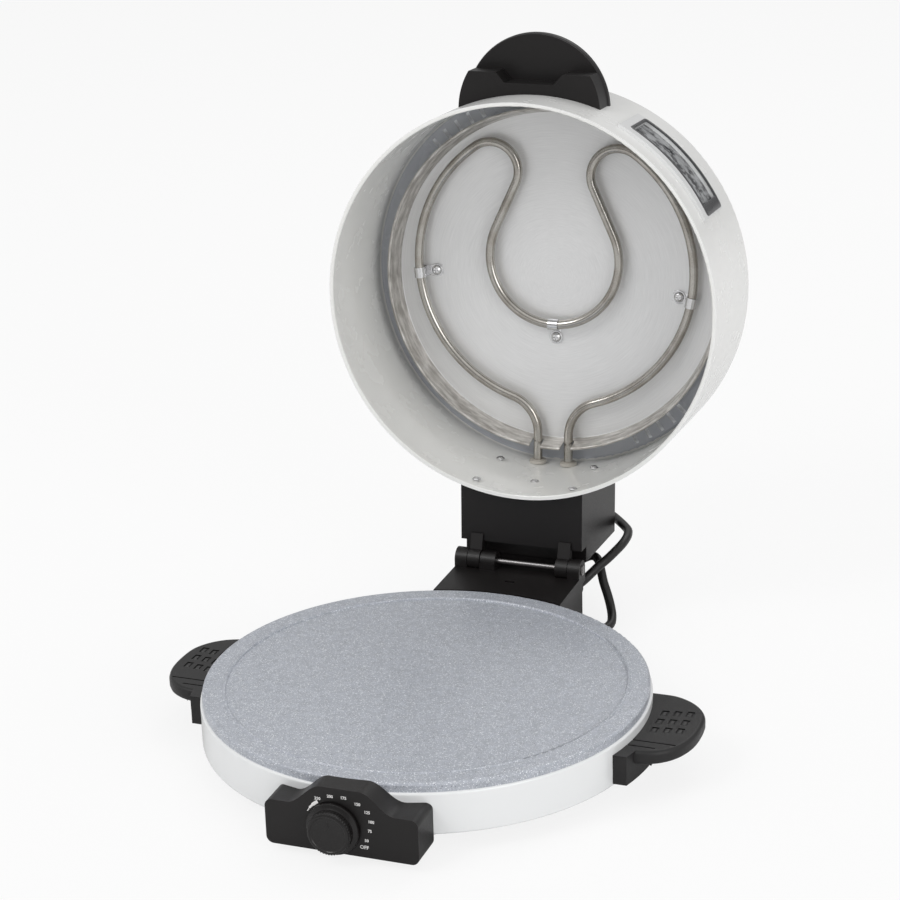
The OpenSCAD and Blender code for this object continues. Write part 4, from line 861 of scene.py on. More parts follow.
def merged(node: str) -> bpy.types.Mesh:
    """Returns: a clean copy of a CAD node's mesh, with flat areas as single faces."""
    bm = bmesh.new()
    bm.from_mesh(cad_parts[node].data)
    bmesh.ops.remove_doubles(bm, verts=bm.verts, dist=DOUBLES)
    bmesh.ops.dissolve_limit(bm, angle_limit=math.radians(0.6), verts=bm.verts, edges=bm.edges)
    mesh = bpy.data.meshes.new(node + "_copy")
    bm.to_mesh(mesh)
    bm.free()
    return mesh


def carved(base: bpy.types.Mesh, steps: list[tuple[str, bpy.types.Mesh]]) -> bpy.types.Mesh:
    """Adds shapes to a mesh and cuts shapes out of it.

    Args:
        base: the mesh to start from.
        steps: UNION or DIFFERENCE, and the shape, in their order.

    Returns:
        The carved mesh.
    """
    source = shown("carving", base)
    tools = []
    for operation, mesh in steps:
        tools.append(shown("carving_tool", mesh))
        step = source.modifiers.new(operation, "BOOLEAN")
        step.operation, step.object, step.solver = operation, tools[-1], "EXACT"
    result = baked(source, "carved")
    mesh = result.data
    bpy.data.objects.remove(result)
    for tool in tools:
        bpy.data.objects.remove(tool)
    return mesh


def rounded(shape: str | bpy.types.Mesh, name: str, width: float, finish: Finish, limit: float = 38.0,
            steps: int = 2) -> bpy.types.Object:
    """Copies a CAD node, or takes a mesh, and rounds its edges, as a mould leaves them.

    Args:
        shape: the CAD node's name, or the mesh.
        name: the piece's name.
        width: width of the rounding in metres.
        finish: the piece's finish.
        limit: edges sharper than this many degrees are rounded.
        steps: faces across the rounding.

    Returns:
        The rounded piece, still without a body.
    """
    mesh = merged(shape) if isinstance(shape, str) else shape
    source = shown(name + "_source", mesh, finish)
    bevel = source.modifiers.new("Edge", "BEVEL")
    bevel.width, bevel.segments, bevel.limit_method = width, steps, "ANGLE"
    bevel.angle_limit = math.radians(limit)
    bevel.use_clamp_overlap = True
    bevel.miter_outer = "MITER_ARC"
    weighted = source.modifiers.new("Normals", "WEIGHTED_NORMAL")
    weighted.keep_sharp = True
    smooth(mesh, 70.0)
    return baked(source, name)


# geometry node trees

PLACED = [("Place", "NodeSocketVector", (0, 0, 0)), ("Turn", "NodeSocketVector", (0, 0, 0))]


class GeoTree(Graph):
    """A geometry node tree with named inputs."""

    def __init__(self, name: str, takes: list[tuple[str, str, object]]) -> None:
        """Starts the tree.

        Args:
            name: the tree's name.
            takes: input name, socket type and default value; a Material input is added.
        """
        tree = bpy.data.node_groups.new(name, "GeometryNodeTree")
        super().__init__(tree)
        tree.interface.new_socket(name="Geometry", in_out="INPUT", socket_type="NodeSocketGeometry")
        for label, kind, value in takes:
            socket = tree.interface.new_socket(name=label, in_out="INPUT", socket_type=kind)
            if value is not None:
                socket.default_value = value
        tree.interface.new_socket(name="Material", in_out="INPUT", socket_type="NodeSocketMaterial")
        tree.interface.new_socket(name="Geometry", in_out="OUTPUT", socket_type="NodeSocketGeometry")
        self.given = self.node("NodeGroupInput").outputs
        self.out = self.node("NodeGroupOutput")

    def close(self, geometry: bpy.types.NodeSocket, even: bool = True) -> None:
        """Ends the tree in Realize Instances and Set Material.

        Args:
            geometry: the finished geometry's socket.
            even: shades it smooth.
        """
        real = self.node("GeometryNodeRealizeInstances", {"Geometry": geometry}).outputs[0]
        shade = self.node("GeometryNodeSetShadeSmooth", {"Geometry": real, "Shade Smooth": even}).outputs[0]
        dressed = self.node("GeometryNodeSetMaterial", {"Geometry": shade, "Material": self.given["Material"]})
        self.feed(self.out.inputs[0], dressed.outputs[0])

    def placed(self, geometry: bpy.types.NodeSocket) -> bpy.types.NodeSocket:
        """Returns: the geometry, moved by the tree's inputs Place and Turn."""
        return self.node("GeometryNodeTransform", {"Geometry": geometry, "Translation": self.given["Place"],
                                                   "Rotation": self.given["Turn"]}).outputs[0]

    def run(self, name: str, seed: bpy.types.Mesh, finish: Finish, **values: object) -> bpy.types.Object:
        """Runs the tree on a seed mesh and keeps the result as a plain mesh.

        Args:
            name: the piece's name.
            seed: the points or line that the tree works on.
            finish: the finish of the result.
            values: input names, with spaces written as underscores, to values.

        Returns:
            The plain piece.
        """
        source = shown(name + "_seed", seed)
        modifier = source.modifiers.new("Build", "NODES")
        modifier.node_group = self.tree
        wanted = {key.replace("_", " "): value for key, value in values.items()}
        wanted["Material"] = finish.material()
        for item in self.tree.interface.items_tree:
            if item.item_type == "SOCKET" and item.in_out == "INPUT" and item.name in wanted:
                modifier[item.identifier] = wanted[item.name]
        return baked(source, name)


class LeadTree(GeoTree):
    """Draws a round lead along a line of points."""

    def __init__(self) -> None:
        """Builds the tree: inputs Radius and Sides."""
        super().__init__("Lead along a line", [("Radius", "NodeSocketFloat", 3.5 * MM),
                                               ("Sides", "NodeSocketInt", 20)])
        line = self.node("GeometryNodeMeshToCurve", {"Mesh": self.given["Geometry"]}).outputs[0]
        ring = self.node("GeometryNodeCurvePrimitiveCircle", {"Resolution": self.given["Sides"],
                                                              "Radius": self.given["Radius"]}).outputs[0]
        tube = self.node("GeometryNodeCurveToMesh", {"Curve": line, "Profile Curve": ring, "Fill Caps": True})
        self.close(tube.outputs[0])


class SleeveTree(GeoTree):
    """Draws a tapered strain relief with raised ribs along a line of evenly spaced points."""

    def __init__(self) -> None:
        """Builds the tree: inputs Start, End, Ribs and Rib Height."""
        super().__init__("Ribbed sleeve", [("Start", "NodeSocketFloat", 6.8 * MM),
                                           ("End", "NodeSocketFloat", 4.6 * MM),
                                           ("Ribs", "NodeSocketFloat", 6.0),
                                           ("Rib Height", "NodeSocketFloat", 0.7 * MM)])
        line = self.node("GeometryNodeMeshToCurve", {"Mesh": self.given["Geometry"]}).outputs[0]
        along = self.node("GeometryNodeSplineParameter").outputs["Factor"]
        halves = self.math("MULTIPLY", self.given["Ribs"], 2.0)
        wave = self.math("PINGPONG", self.math("MULTIPLY", along, halves), 1.0)
        rib = self.math("MULTIPLY", self.math("GREATER_THAN", wave, 0.5), self.given["Rib Height"])
        taper = self.math("MULTIPLY_ADD", along, self.math("SUBTRACT", self.given["End"], self.given["Start"]),
                          self.given["Start"])
        ring = self.node("GeometryNodeCurvePrimitiveCircle", {"Resolution": 32, "Radius": 1.0}).outputs[0]
        tube = self.node("GeometryNodeCurveToMesh", {"Curve": line, "Profile Curve": ring, "Fill Caps": True,
                                                     "Scale": self.math("SUBTRACT", taper, rib)})
        self.close(tube.outputs[0], False)


class RingTree(GeoTree):
    """Puts a flat washer, with its axis along the point's normal, on each point."""

    def __init__(self) -> None:
        """Builds the tree: inputs Middle, Width, Thickness and Axis."""
        super().__init__("Washers", [("Middle", "NodeSocketFloat", 4.6 * MM),
                                     ("Width", "NodeSocketFloat", 1.8 * MM),
                                     ("Thickness", "NodeSocketFloat", 0.7 * MM),
                                     ("Axis", "NodeSocketVector", (0, 0, 1))])
        path = self.node("GeometryNodeCurvePrimitiveCircle",
                         {"Resolution": 40, "Radius": self.given["Middle"]}).outputs[0]
        flat = self.node("GeometryNodeCurvePrimitiveQuadrilateral",
                         {"Width": self.given["Width"], "Height": self.given["Thickness"]}).outputs[0]
        eased = self.node("GeometryNodeFilletCurve", {"Curve": flat, "Radius": 0.18 * MM, "Count": 2}, mode="POLY")
        ring = self.node("GeometryNodeCurveToMesh", {"Curve": path, "Profile Curve": eased.outputs[0]}).outputs[0]
        turn = self.node("FunctionNodeAlignRotationToVector", {"Vector": self.given["Axis"]}, axis="Z").outputs[0]
        many = self.node("GeometryNodeInstanceOnPoints", {"Points": self.given["Geometry"], "Instance": ring,
                                                          "Rotation": turn}).outputs[0]
        self.close(many)


class RibCircleTree(GeoTree):
    """Sets small upright ribs round a circle, as on a knob's grip."""

    def __init__(self) -> None:
        """Builds the tree: inputs Count, Radius, Width, Height, Place and Turn."""
        super().__init__("Ribs round a grip", [("Count", "NodeSocketInt", 40),
                                               ("Radius", "NodeSocketFloat", 14.3 * MM),
                                               ("Width", "NodeSocketFloat", 1.0 * MM),
                                               ("Height", "NodeSocketFloat", 4.0 * MM), *PLACED])
        circle = self.node("GeometryNodeMeshCircle", {"Vertices": self.given["Count"],
                                                      "Radius": self.given["Radius"]}).outputs[0]
        rib = self.node("GeometryNodeMeshCylinder", {
            "Vertices": 12, "Radius": self.math("MULTIPLY", self.given["Width"], 0.5),
            "Depth": self.given["Height"]}).outputs["Mesh"]
        many = self.node("GeometryNodeInstanceOnPoints", {"Points": circle, "Instance": rib}).outputs[0]
        self.close(self.placed(many))


class PadTree(GeoTree):
    """Sets a small pad with sloped sides on each point."""

    def __init__(self) -> None:
        """Builds the tree: inputs Size and Slope."""
        super().__init__("Grip pads", [("Size", "NodeSocketVector", (2.6 * MM, 5.2 * MM, 0.5 * MM)),
                                       ("Slope", "NodeSocketFloat", 0.84)])
        cube = self.node("GeometryNodeMeshCube", {"Size": self.given["Size"]}).outputs[0]
        place = self.node("GeometryNodeInputPosition").outputs[0]
        parts = self.parts(place)
        narrow = self.node("ShaderNodeCombineXYZ", {0: self.math("MULTIPLY", parts[0], self.given["Slope"]),
                                                    1: self.math("MULTIPLY", parts[1], self.given["Slope"]),
                                                    2: parts[2]}).outputs[0]
        upper = self.math("GREATER_THAN", parts[2], 0.0)
        sloped = self.node("GeometryNodeSetPosition",
                           {"Geometry": cube, "Position": narrow, "Selection": upper}).outputs[0]
        many = self.node("GeometryNodeInstanceOnPoints",
                         {"Points": self.given["Geometry"], "Instance": sloped}).outputs[0]
        self.close(many, False)


class LouvreTree(GeoTree):
    """Sets a pressed hood over each vent slot, turned to point away from the middle."""

    def __init__(self) -> None:
        """Builds the tree: inputs Radius, Length, Sheet, Place and Turn."""
        super().__init__("Vent hoods", [("Radius", "NodeSocketFloat", 2.6 * MM),
                                        ("Length", "NodeSocketFloat", 11.0 * MM),
                                        ("Sheet", "NodeSocketFloat", 0.7 * MM), *PLACED])
        bend = self.node("GeometryNodeCurveArc", {
            "Resolution": 12, "Radius": self.given["Radius"], "Start Angle": 0.0,
            "Sweep Angle": math.radians(152.0)}, mode="RADIUS").outputs[0]
        strip = self.node("GeometryNodeCurvePrimitiveQuadrilateral",
                          {"Width": self.given["Sheet"], "Height": self.given["Length"]}).outputs[0]
        hood = self.node("GeometryNodeCurveToMesh",
                         {"Curve": bend, "Profile Curve": strip, "Fill Caps": True}).outputs[0]
        stand = (math.radians(90), 0.0, math.radians(90))
        upright = self.node("GeometryNodeTransform", {"Geometry": hood, "Rotation": stand})
        place = self.node("GeometryNodeInputPosition").outputs[0]
        parts = self.parts(place)
        around = self.node("ShaderNodeCombineXYZ", {2: self.math("ARCTAN2", parts[1], parts[0])}).outputs[0]
        many = self.node("GeometryNodeInstanceOnPoints", {
            "Points": self.given["Geometry"], "Instance": upright.outputs[0], "Rotation": around}).outputs[0]
        self.close(self.placed(many))


class Trees:
    """The geometry node trees, each built once."""

    def __init__(self) -> None:
        """Builds each tree."""
        self.lead = LeadTree()
        self.sleeve = SleeveTree()
        self.washer = RingTree()
        self.ribs = RibCircleTree()
        self.pads = PadTree()
        self.louvres = LouvreTree()


def line_mesh(points: list[Vector]) -> bpy.types.Mesh:
    """Returns: a mesh of the points, joined one after another."""
    mesh = bpy.data.meshes.new("line")
    mesh.from_pydata([tuple(p) for p in points], [(i, i + 1) for i in range(len(points) - 1)], [])
    return mesh


def dots_mesh(points: list[Vector]) -> bpy.types.Mesh:
    """Returns: a mesh of loose points."""
    mesh = bpy.data.meshes.new("dots")
    mesh.from_pydata([tuple(p) for p in points], [], [])
    return mesh


# camera, light and stage


@dataclass
class Studio:
    """Camera, plain pale floor and soft light.

    Attributes:
        eye: where the camera stands.
        forward: the direction in which it looks.
        roll: its turn round that direction, in degrees.
        lens: its focal length in millimetres.
        ambient: strength of the world's even light.
        floor_half: half the floor's side.
        floor_glow: share of plain white in the floor that the camera sees.
        aim: the place that the lamps face.
        lamps: name, place, side and watts of each lamp.
    """

    eye: Point = (0.55857, -1.42487, 0.77419)
    forward: Point = (-0.33097, 0.87960, -0.34169)
    roll: float = -1.65
    lens: float = 97.32
    ambient: float = 0.60
    floor_half: float = 9.0
    floor_glow: float = 0.84
    aim: Point = (0.0, 0.05, 0.15)
    lamps: tuple[tuple[str, Point, float, float], ...] = (
        ("key_light", (-1.5, -1.9, 2.5), 1.3, 30.0), ("fill_light", (2.1, -1.5, 1.0), 1.4, 19.0),
        ("back_light", (0.4, 1.8, 2.4), 1.4, 12.0))

    def build(self) -> None:
        """Makes camera, floor, world and lamps."""
        self._camera()
        self._floor()
        self._world()
        for name, place, size, power in self.lamps:
            self._lamp(name, place, size, power)
        bpy.context.scene.view_settings.view_transform = "Standard"
        log.info("studio made")

    def _camera(self) -> None:
        """Makes the camera at the photograph's place and roll."""
        data = bpy.data.cameras.new("camera")
        data.lens, data.sensor_width = self.lens, 36.0
        data.clip_start, data.clip_end = 0.05, 50.0
        camera = bpy.data.objects.new("camera", data)
        bpy.context.scene.collection.objects.link(camera)
        forward = Vector(self.forward).normalized()
        right = forward.cross(Vector((0, 0, 1))).normalized()
        up = right.cross(forward)
        r = math.radians(self.roll)
        side = right * math.cos(r) + up * math.sin(r)
        top = up * math.cos(r) - right * math.sin(r)
        turn = Matrix((side, top, -forward)).transposed().to_4x4()
        camera.matrix_world = Matrix.Translation(Vector(self.eye)) @ turn
        bpy.context.scene.camera = camera

    def _floor(self) -> None:
        """Makes the pale floor, which shows near white to the camera and keeps a shadow."""
        mesh = bpy.data.meshes.new("floor")
        half = self.floor_half
        corners = [(-half, -half, 0), (half, -half, 0), (half, half, 0), (-half, half, 0)]
        mesh.from_pydata(corners, [], [(0, 1, 2, 3)])
        material = bpy.data.materials.new("pale_floor")
        material.use_nodes = True
        material.node_tree.nodes.clear()
        g = Graph(material.node_tree)
        skin = g.node("ShaderNodeBsdfPrincipled", {"Base Color": (0.86, 0.86, 0.86, 1), "Roughness": 0.95,
                                                   "Specular IOR Level": 0.1})
        glow = g.node("ShaderNodeEmission", {"Color": (1, 1, 1, 1), "Strength": 1.0})
        rays = g.node("ShaderNodeLightPath").outputs
        seen = g.math("MAXIMUM", rays["Is Camera Ray"], rays["Is Transmission Ray"])
        both = g.node("ShaderNodeMixShader", {0: g.math("MULTIPLY", seen, self.floor_glow),
                                              1: skin.outputs[0], 2: glow.outputs[0]})
        g.node("ShaderNodeOutputMaterial", {"Surface": both.outputs[0]})
        floor = shown("floor", mesh)
        mesh.materials.append(material)

    def _world(self) -> None:
        """Makes a pale world: white to the camera and in reflections, plainer as light."""
        world = bpy.data.worlds.new("studio")
        world.use_nodes = True
        world.node_tree.nodes.clear()
        g = Graph(world.node_tree)
        rays = g.node("ShaderNodeLightPath").outputs
        seen = g.math("MAXIMUM", rays["Is Camera Ray"], rays["Is Transmission Ray"])
        toward = g.node("ShaderNodeTexCoord").outputs["Generated"]
        parts = g.parts(toward)
        above = g.span(parts[2], 0.15, 0.75, 0.0, 1.0, smooth=True)
        beside = g.math("MULTIPLY", g.span(g.math("ABSOLUTE", parts[0]), 0.55, 0.85, smooth=True),
                        g.span(parts[2], -0.1, 0.15, smooth=True))
        bright = g.math("MAXIMUM", above, g.math("MULTIPLY", beside, 0.75))
        mirrored = g.span(bright, 0.0, 1.0, 0.30, 1.05)
        plain = g.span(seen, 0.0, 1.0, self.ambient, 1.0)
        strength = g.node("ShaderNodeMix", {0: rays["Is Glossy Ray"], 2: plain, 3: mirrored}).outputs[0]
        light = g.node("ShaderNodeBackground", {"Color": (1.0, 1.0, 1.0, 1.0), "Strength": strength})
        g.node("ShaderNodeOutputWorld", {"Surface": light.outputs[0]})
        bpy.context.scene.world = world

    def _lamp(self, name: str, place: Point, size: float, power: float) -> None:
        """Makes one square soft lamp that faces the machine.

        Args:
            name: the lamp's name.
            place: where it hangs.
            size: its side in metres.
            power: its power in watts.
        """
        data = bpy.data.lights.new(name, "AREA")
        data.shape, data.size, data.energy = "SQUARE", size, power
        lamp = bpy.data.objects.new(name, data)
        bpy.context.scene.collection.objects.link(lamp)
        aim = Vector(self.aim) - Vector(place)
        turn = aim.to_track_quat("-Z", "Y").to_matrix().to_4x4()
        lamp.matrix_world = Matrix.Translation(Vector(place)) @ turn


# leads


def flowing(points: list[Vector], steps: int) -> list[Vector]:
    """Rounds a route between its points.

    Args:
        points: the route's points.
        steps: how many stretches each step is cut into.

    Returns:
        The finer route, through the same points.
    """
    ends = [points[0] * 2 - points[1], *points, points[-1] * 2 - points[-2]]
    fine: list[Vector] = []
    for a, b, c, d in zip(ends, ends[1:], ends[2:], ends[3:]):
        for k in range(steps):
            t = k / steps
            fine.append(0.5 * ((2 * b) + (c - a) * t + (2 * a - 5 * b + 4 * c - d) * t * t
                               + (3 * b - a - 3 * c + d) * t ** 3))
    return [*fine, points[-1].copy()]


def ribbed_end(trees: Trees, name: str, line: list[Vector], **sizes: float) -> bpy.types.Object:
    """Makes the ribbed sleeve on a lead's end.

    Args:
        trees: the geometry node trees.
        name: the piece's name.
        line: its evenly spaced centre line.
        sizes: radius at its Start and End, number of Ribs and Rib_Height.

    Returns:
        The sleeve, still without a body.
    """
    return trees.sleeve.run(name, line_mesh(line), Finishes.sleeve, **sizes)


def route_length(points: list[Vector]) -> float:
    """Returns: the length of a route in metres."""
    return sum((b - a).length for a, b in zip(points, points[1:]))


@dataclass
class MainsLead:
    """The mains lead: free stretch, coil behind the machine, tie, plug and strain relief.

    Attributes:
        radius: half the lead's thickness, in metres. The other sizes are in millimetres.
        gland: where the lead leaves the bracket's wall.
        collar: radius and height of the points of the strain relief's collar.
        steps: the free stretch from the strain relief to the coil.
        middle: the coil's middle.
        first: the coil's outer radius.
        pitch: how much the radius shrinks in each turn of the lower layer.
        rise: how much higher the upper layer lies.
        turns: number of turns in the lower layer.
        low: height of the lower layer's centre line.
        tail: the stretch from the coil to the plug.
    """

    radius: float = 3.5 * MM
    gland: Point = (22.0, 204.0, 31.5)
    collar: tuple[tuple[float, float], ...] = (
        (0.0, 0.0), (7.6, 0.0), (8.0, 0.4), (8.0, 1.5), (7.4, 2.1), (0.0, 2.1))
    steps: tuple[Point, ...] = (
        (22, 226, 31.5), (22, 233, 31.8), (24, 243, 33.5), (28.5, 252, 37), (34.5, 258, 41), (41.5, 259.5, 43.5),
        (47, 256.5, 41.5), (50.5, 251.5, 35.5), (54, 247, 27.5), (58.5, 242.5, 19.5), (62.5, 237, 12.5),
        (66, 229, 7.8), (67.5, 219.5, 5.5), (64, 209.5, 5), (55.5, 202, 4.9), (45, 198.5, 4.9), (33, 199, 4.9),
        (21, 202.5, 4.9), (9, 207.5, 4.9), (-2, 211.5, 4.9), (-11, 213.6, 4.9))
    middle: tuple[float, float] = (-20.0, 262.0)
    first: float = 47.9
    pitch: float = 8.5
    rise: float = 7.6
    turns: int = 2
    low: float = 4.9
    tail: tuple[Point, ...] = (
        (-6.797, 308.044, 15.35), (5.383, 302.622, 21.05), (15.597, 294.051, 23.9), (20.183, 286.873, 23.9),
        (22.202, 278.597, 23.9), (21.439, 270.113, 23.9), (17.974, 262.331, 23.9), (12.180, 256.086, 23.9),
        (4.678, 252.049, 23.9), (-3.725, 250.654, 23.9), (-11.725, 250.654, 23.9))

    def coil_point(self, angle: float) -> Vector:
        """Returns: the coil's centre line at an angle in degrees from its start, in metres."""
        half = 360.0 * self.turns
        inner = self.first - self.pitch * self.turns
        if angle <= half:
            r, z = self.first - self.pitch * angle / 360.0, self.low
        elif angle <= half + 180.0:
            r, z = inner, self.low + self.rise * (angle - half) / 180.0
        else:
            r, z = inner + self.pitch * (angle - half - 180.0) / 360.0, self.low + self.rise
        a = math.radians(-90.0 - angle)
        return Vector((self.middle[0] + r * math.cos(a), self.middle[1] + r * math.sin(a), z)) * MM

    def route(self) -> list[Vector]:
        """Returns: the whole centre line, from the strain relief to the plug."""
        start = [Vector(p) * MM for p in self.steps]
        coil = [self.coil_point(angle) for angle in range(0, 1621, 15)]
        return flowing([*start, *coil, *(Vector(p) * MM for p in self.tail)], 3)

    def build(self, trees: Trees) -> None:
        """Args:
            trees: the geometry node trees.
        """
        path = self.route()
        lead = trees.lead.run("mains_lead", line_mesh(path), Finishes.sleeve, Radius=self.radius, Sides=18)
        settle(lead, Body.BASE, Slot.SLEEVE, "mains_cord", "mains_cord_coil")
        plug = rounded("plug", "mains_plug", 1.1 * MM, Finishes.plug, steps=3)
        settle(plug, Body.BASE, Slot.SLEEVE, "plug")
        tie = rounded("cord_tie", "coil_tie", 0.4 * MM, Finishes.strap)
        settle(tie, Body.BASE, Slot.SLEEVE, "cord_tie")
        self._strain_relief(trees)
        log.info("mains lead is %.2f m long", route_length(path))

    def _strain_relief(self, trees: Trees) -> None:
        """Makes the ribbed sleeve and its collar where the lead leaves the bracket.

        Args:
            trees: the geometry node trees.
        """
        x, wall, z = self.gland
        steps = 84
        line = [Vector((x, wall + 2.0 + 20.0 * i / steps, z)) * MM for i in range(steps + 1)]
        sleeve = ribbed_end(trees, "strain_relief", line, Start=6.6 * MM, End=4.8 * MM, Ribs=6.0,
                            Rib_Height=0.7 * MM)
        place = Matrix.Translation(Vector(self.gland) * MM) @ Matrix.Rotation(math.radians(-90), 4, "X")
        collar = lathe([(radius * MM, height * MM) for radius, height in self.collar], place, 48)
        settle(sleeve, Body.BASE, Slot.SLEEVE, "cord_gland")
        settle(shown("strain_relief_collar", collar, Finishes.sleeve), Body.BASE, Slot.SLEEVE)


@dataclass
class LidLead:
    """The lead that carries current from the bracket up into the lid's arm."""

    radius: float = 3.5 * MM
    steps: tuple[Point, ...] = (
        (43, 211.1, 36.5), (43.4, 217, 36.9), (46.3, 223, 39), (50.5, 229, 43), (54.5, 235, 46.8), (58.5, 241, 49.8),
        (62.5, 249, 53.4), (65.5, 259.5, 56.2), (66, 271, 57.8), (63.6, 282.5, 57.8), (59, 291, 57.4),
        (52.8, 298.5, 57.9),
        (45.5, 306, 58.8), (36, 313.5, 60.3), (26, 318.5, 62.3), (16.5, 318.7, 64.9), (11.2, 314.2, 66.7),
        (10.15, 310, 67.1), (10, 306.3, 67.34))

    def build(self, trees: Trees) -> None:
        """Makes the lead and its two ribbed ends.

        Args:
            trees: the geometry node trees.
        """
        path = flowing([Vector(p) * MM for p in self.steps], 5)
        lead = trees.lead.run("lid_link_lead", line_mesh(path), Finishes.sleeve, Radius=self.radius, Sides=18)
        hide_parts("lid_lead")
        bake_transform(lead)
        log.info("lid lead is %.2f m long", route_length(path))
        steps = 40
        low = [Vector((43.0, 204.0 + 7.0 * i / steps, 36.5)) * MM for i in range(steps + 1)]
        sleeve = ribbed_end(trees, "lid_lead_sleeve_low", low, Start=6.4 * MM, End=5.6 * MM, Ribs=3.0,
                            Rib_Height=0.6 * MM)
        settle(sleeve, Body.BASE, Slot.SLEEVE, "lead_gland_lower")
        high = [HINGE.opened(10.0 * MM, 185.6 * MM, (147.3 + 9.0 * i / steps) * MM)
                for i in range(steps + 1)]
        sleeve = ribbed_end(trees, "lid_lead_sleeve_high", high, Start=7.2 * MM, End=5.0 * MM, Ribs=4.0,
                            Rib_Height=0.6 * MM)
        settle(sleeve, Body.LID, Slot.SLEEVE, "lead_gland_upper")


# base


@dataclass
class ControlPanel:
    """Front panel with its dial marks, and the turning knob.

    Attributes:
        face: the panel's front face on the y axis, in metres.
        centre: the knob's middle across and up, in metres.
        marks: text, middle across, middle up and letter height of each mark, in millimetres.
        wedge: radius in millimetres and start and end in degrees of the heat wedge.
    """

    face: float = -172.0 * MM
    centre: tuple[float, float] = (1.0 * MM, 24.0 * MM)
    marks: tuple[tuple[str, float, float, float], ...] = (
        ("OFF", 21.6, 13.2, 3.5), ("50", 23.3, 18.2, 2.8), ("75", 25.8, 25.3, 2.8), ("100", 26.9, 32.0, 2.8),
        ("125", 24.4, 38.4, 2.8), ("150", 17.9, 43.2, 2.8), ("175", 8.6, 46.2, 2.8), ("200", -0.6, 45.9, 2.8),
        ("250", -9.3, 43.2, 2.8))
    wedge: tuple[float, float, float] = (19.9, 121.0, 152.0)

    def build(self, trees: Trees) -> None:
        """Makes panel, marks and knob.

        Args:
            trees: the geometry node trees.
        """
        panel = rounded("control_panel", "dial_panel", 1.6 * MM, Finishes.moulding, limit=50.0, steps=4)
        settle(panel, Body.BASE, Slot.MOULDING, "control_panel")
        for text, x, z, height in self.marks:
            self._mark(text, x * MM, z * MM, height * MM)
        self._wedge()
        self._knob(trees)

    def _mark(self, text: str, x: float, z: float, height: float) -> None:
        """Prints one word or number on the panel.

        Args:
            text: what it says.
            x: its middle across.
            z: its middle up.
            height: height of its letters.
        """
        curve = bpy.data.curves.new("mark_" + text, "FONT")
        curve.body, curve.size = text, height
        curve.align_x, curve.align_y = "CENTER", "CENTER"
        curve.extrude, curve.offset, curve.resolution_u = 0.00003, 0.00006, 3
        source = bpy.data.objects.new("mark_source", curve)
        bpy.context.scene.collection.objects.link(source)
        bpy.context.view_layer.update()
        mesh = bpy.data.meshes.new_from_object(source.evaluated_get(bpy.context.evaluated_depsgraph_get()))
        bpy.data.objects.remove(source)
        place = Matrix.Translation((x, self.face - 0.00004, z)) @ Matrix.Rotation(math.radians(90), 4, "X")
        mesh.transform(place)
        settle(shown("mark_" + text, mesh, Finishes.print_white), Body.BASE, Slot.MOULDING)

    def _wedge(self) -> None:
        """Prints the curved wedge that grows with the heat."""
        radius, start, end = self.wedge
        bm = bmesh.new()
        rows = []
        steps = 24
        for i in range(steps + 1):
            t = i / steps
            a = math.radians(start + (end - start) * t)
            half = 1.1 if t < 0.45 else (0.75 if t < 0.75 else 0.35)
            spots = []
            for r in (radius - half, radius + half):
                x, z = self.centre[0] + r * MM * math.cos(a), self.centre[1] + r * MM * math.sin(a)
                for y in (self.face - 0.00006, self.face + 0.00001):
                    spots.append(bm.verts.new((x, y, z)))
            rows.append(spots)
        for a, b in zip(rows, rows[1:]):
            for i, j in ((0, 1), (1, 3), (3, 2), (2, 0)):
                bm.faces.new((a[i], a[j], b[j], b[i]))
        bm.faces.new((rows[0][0], rows[0][2], rows[0][3], rows[0][1]))
        bm.faces.new((rows[-1][1], rows[-1][3], rows[-1][2], rows[-1][0]))
        bmesh.ops.remove_doubles(bm, verts=bm.verts, dist=1e-7)
        mesh = closed_mesh(bm, "heat_wedge")
        settle(shown("heat_wedge", mesh, Finishes.print_white), Body.BASE, Slot.MOULDING)

    def _knob(self, trees: Trees) -> None:
        """Makes the knob's skirt and cap, its grip ribs and its pointer.

        Args:
            trees: the geometry node trees.
        """
        low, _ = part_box("knob")
        depth = (self.face - low.y) / MM
        x, z = self.centre
        facing = Matrix.Rotation(math.radians(90), 4, "X")
        place = Matrix.Translation(Vector((x, self.face, z))) @ facing
        skirt = [(0.0, 0.45), (17.6, 0.45), (18.0, 0.9), (18.0, 2.5), (17.7, 3.0), (17.2, 3.25), (15.6, 3.7),
                 (15.0, 4.1), (14.75, 4.8)]
        crown = [(14.35, 1.0), (14.1, 0.45), (13.5, 0.1), (12.9, 0.0), (12.3, 0.12), (11.9, 0.5),
                 (11.2, 0.62), (6.0, 0.8), (0.0, 0.85)]
        outline = [*skirt, *((radius, depth - down) for radius, down in crown)]
        cap = lathe([(r * MM, h * MM) for r, h in outline], place, 128)
        settle(shown("dial_knob", cap, Finishes.knob), Body.DIAL, Slot.KNOB, "knob")
        ribs = trees.ribs.run("dial_grip_ribs", dots_mesh([Vector((0, 0, 0))]), Finishes.knob, Count=48,
                              Radius=14.35 * MM, Width=0.9 * MM, Height=(depth - 5.6) * MM,
                              Place=Vector((x, self.face - (depth + 4.0) / 2 * MM, z)),
                              Turn=Vector((math.radians(90), 0.0, 0.0)))
        settle(ribs, Body.DIAL, Slot.KNOB)
        bar = lathe([(0.0, -0.35), (0.45, -0.35), (0.45, 0.1), (0.25, 0.3), (0.0, 0.3)], Matrix.Identity(4), 16)
        bar.transform(Matrix.Diagonal((MM, 9.0 * MM, MM, 1.0)))
        bar.transform(Matrix.Translation(Vector((x, self.face - (depth - 0.75) * MM, z + 7.0 * MM))) @ facing)
        settle(shown("dial_pointer", bar, Finishes.knob), Body.DIAL, Slot.KNOB)


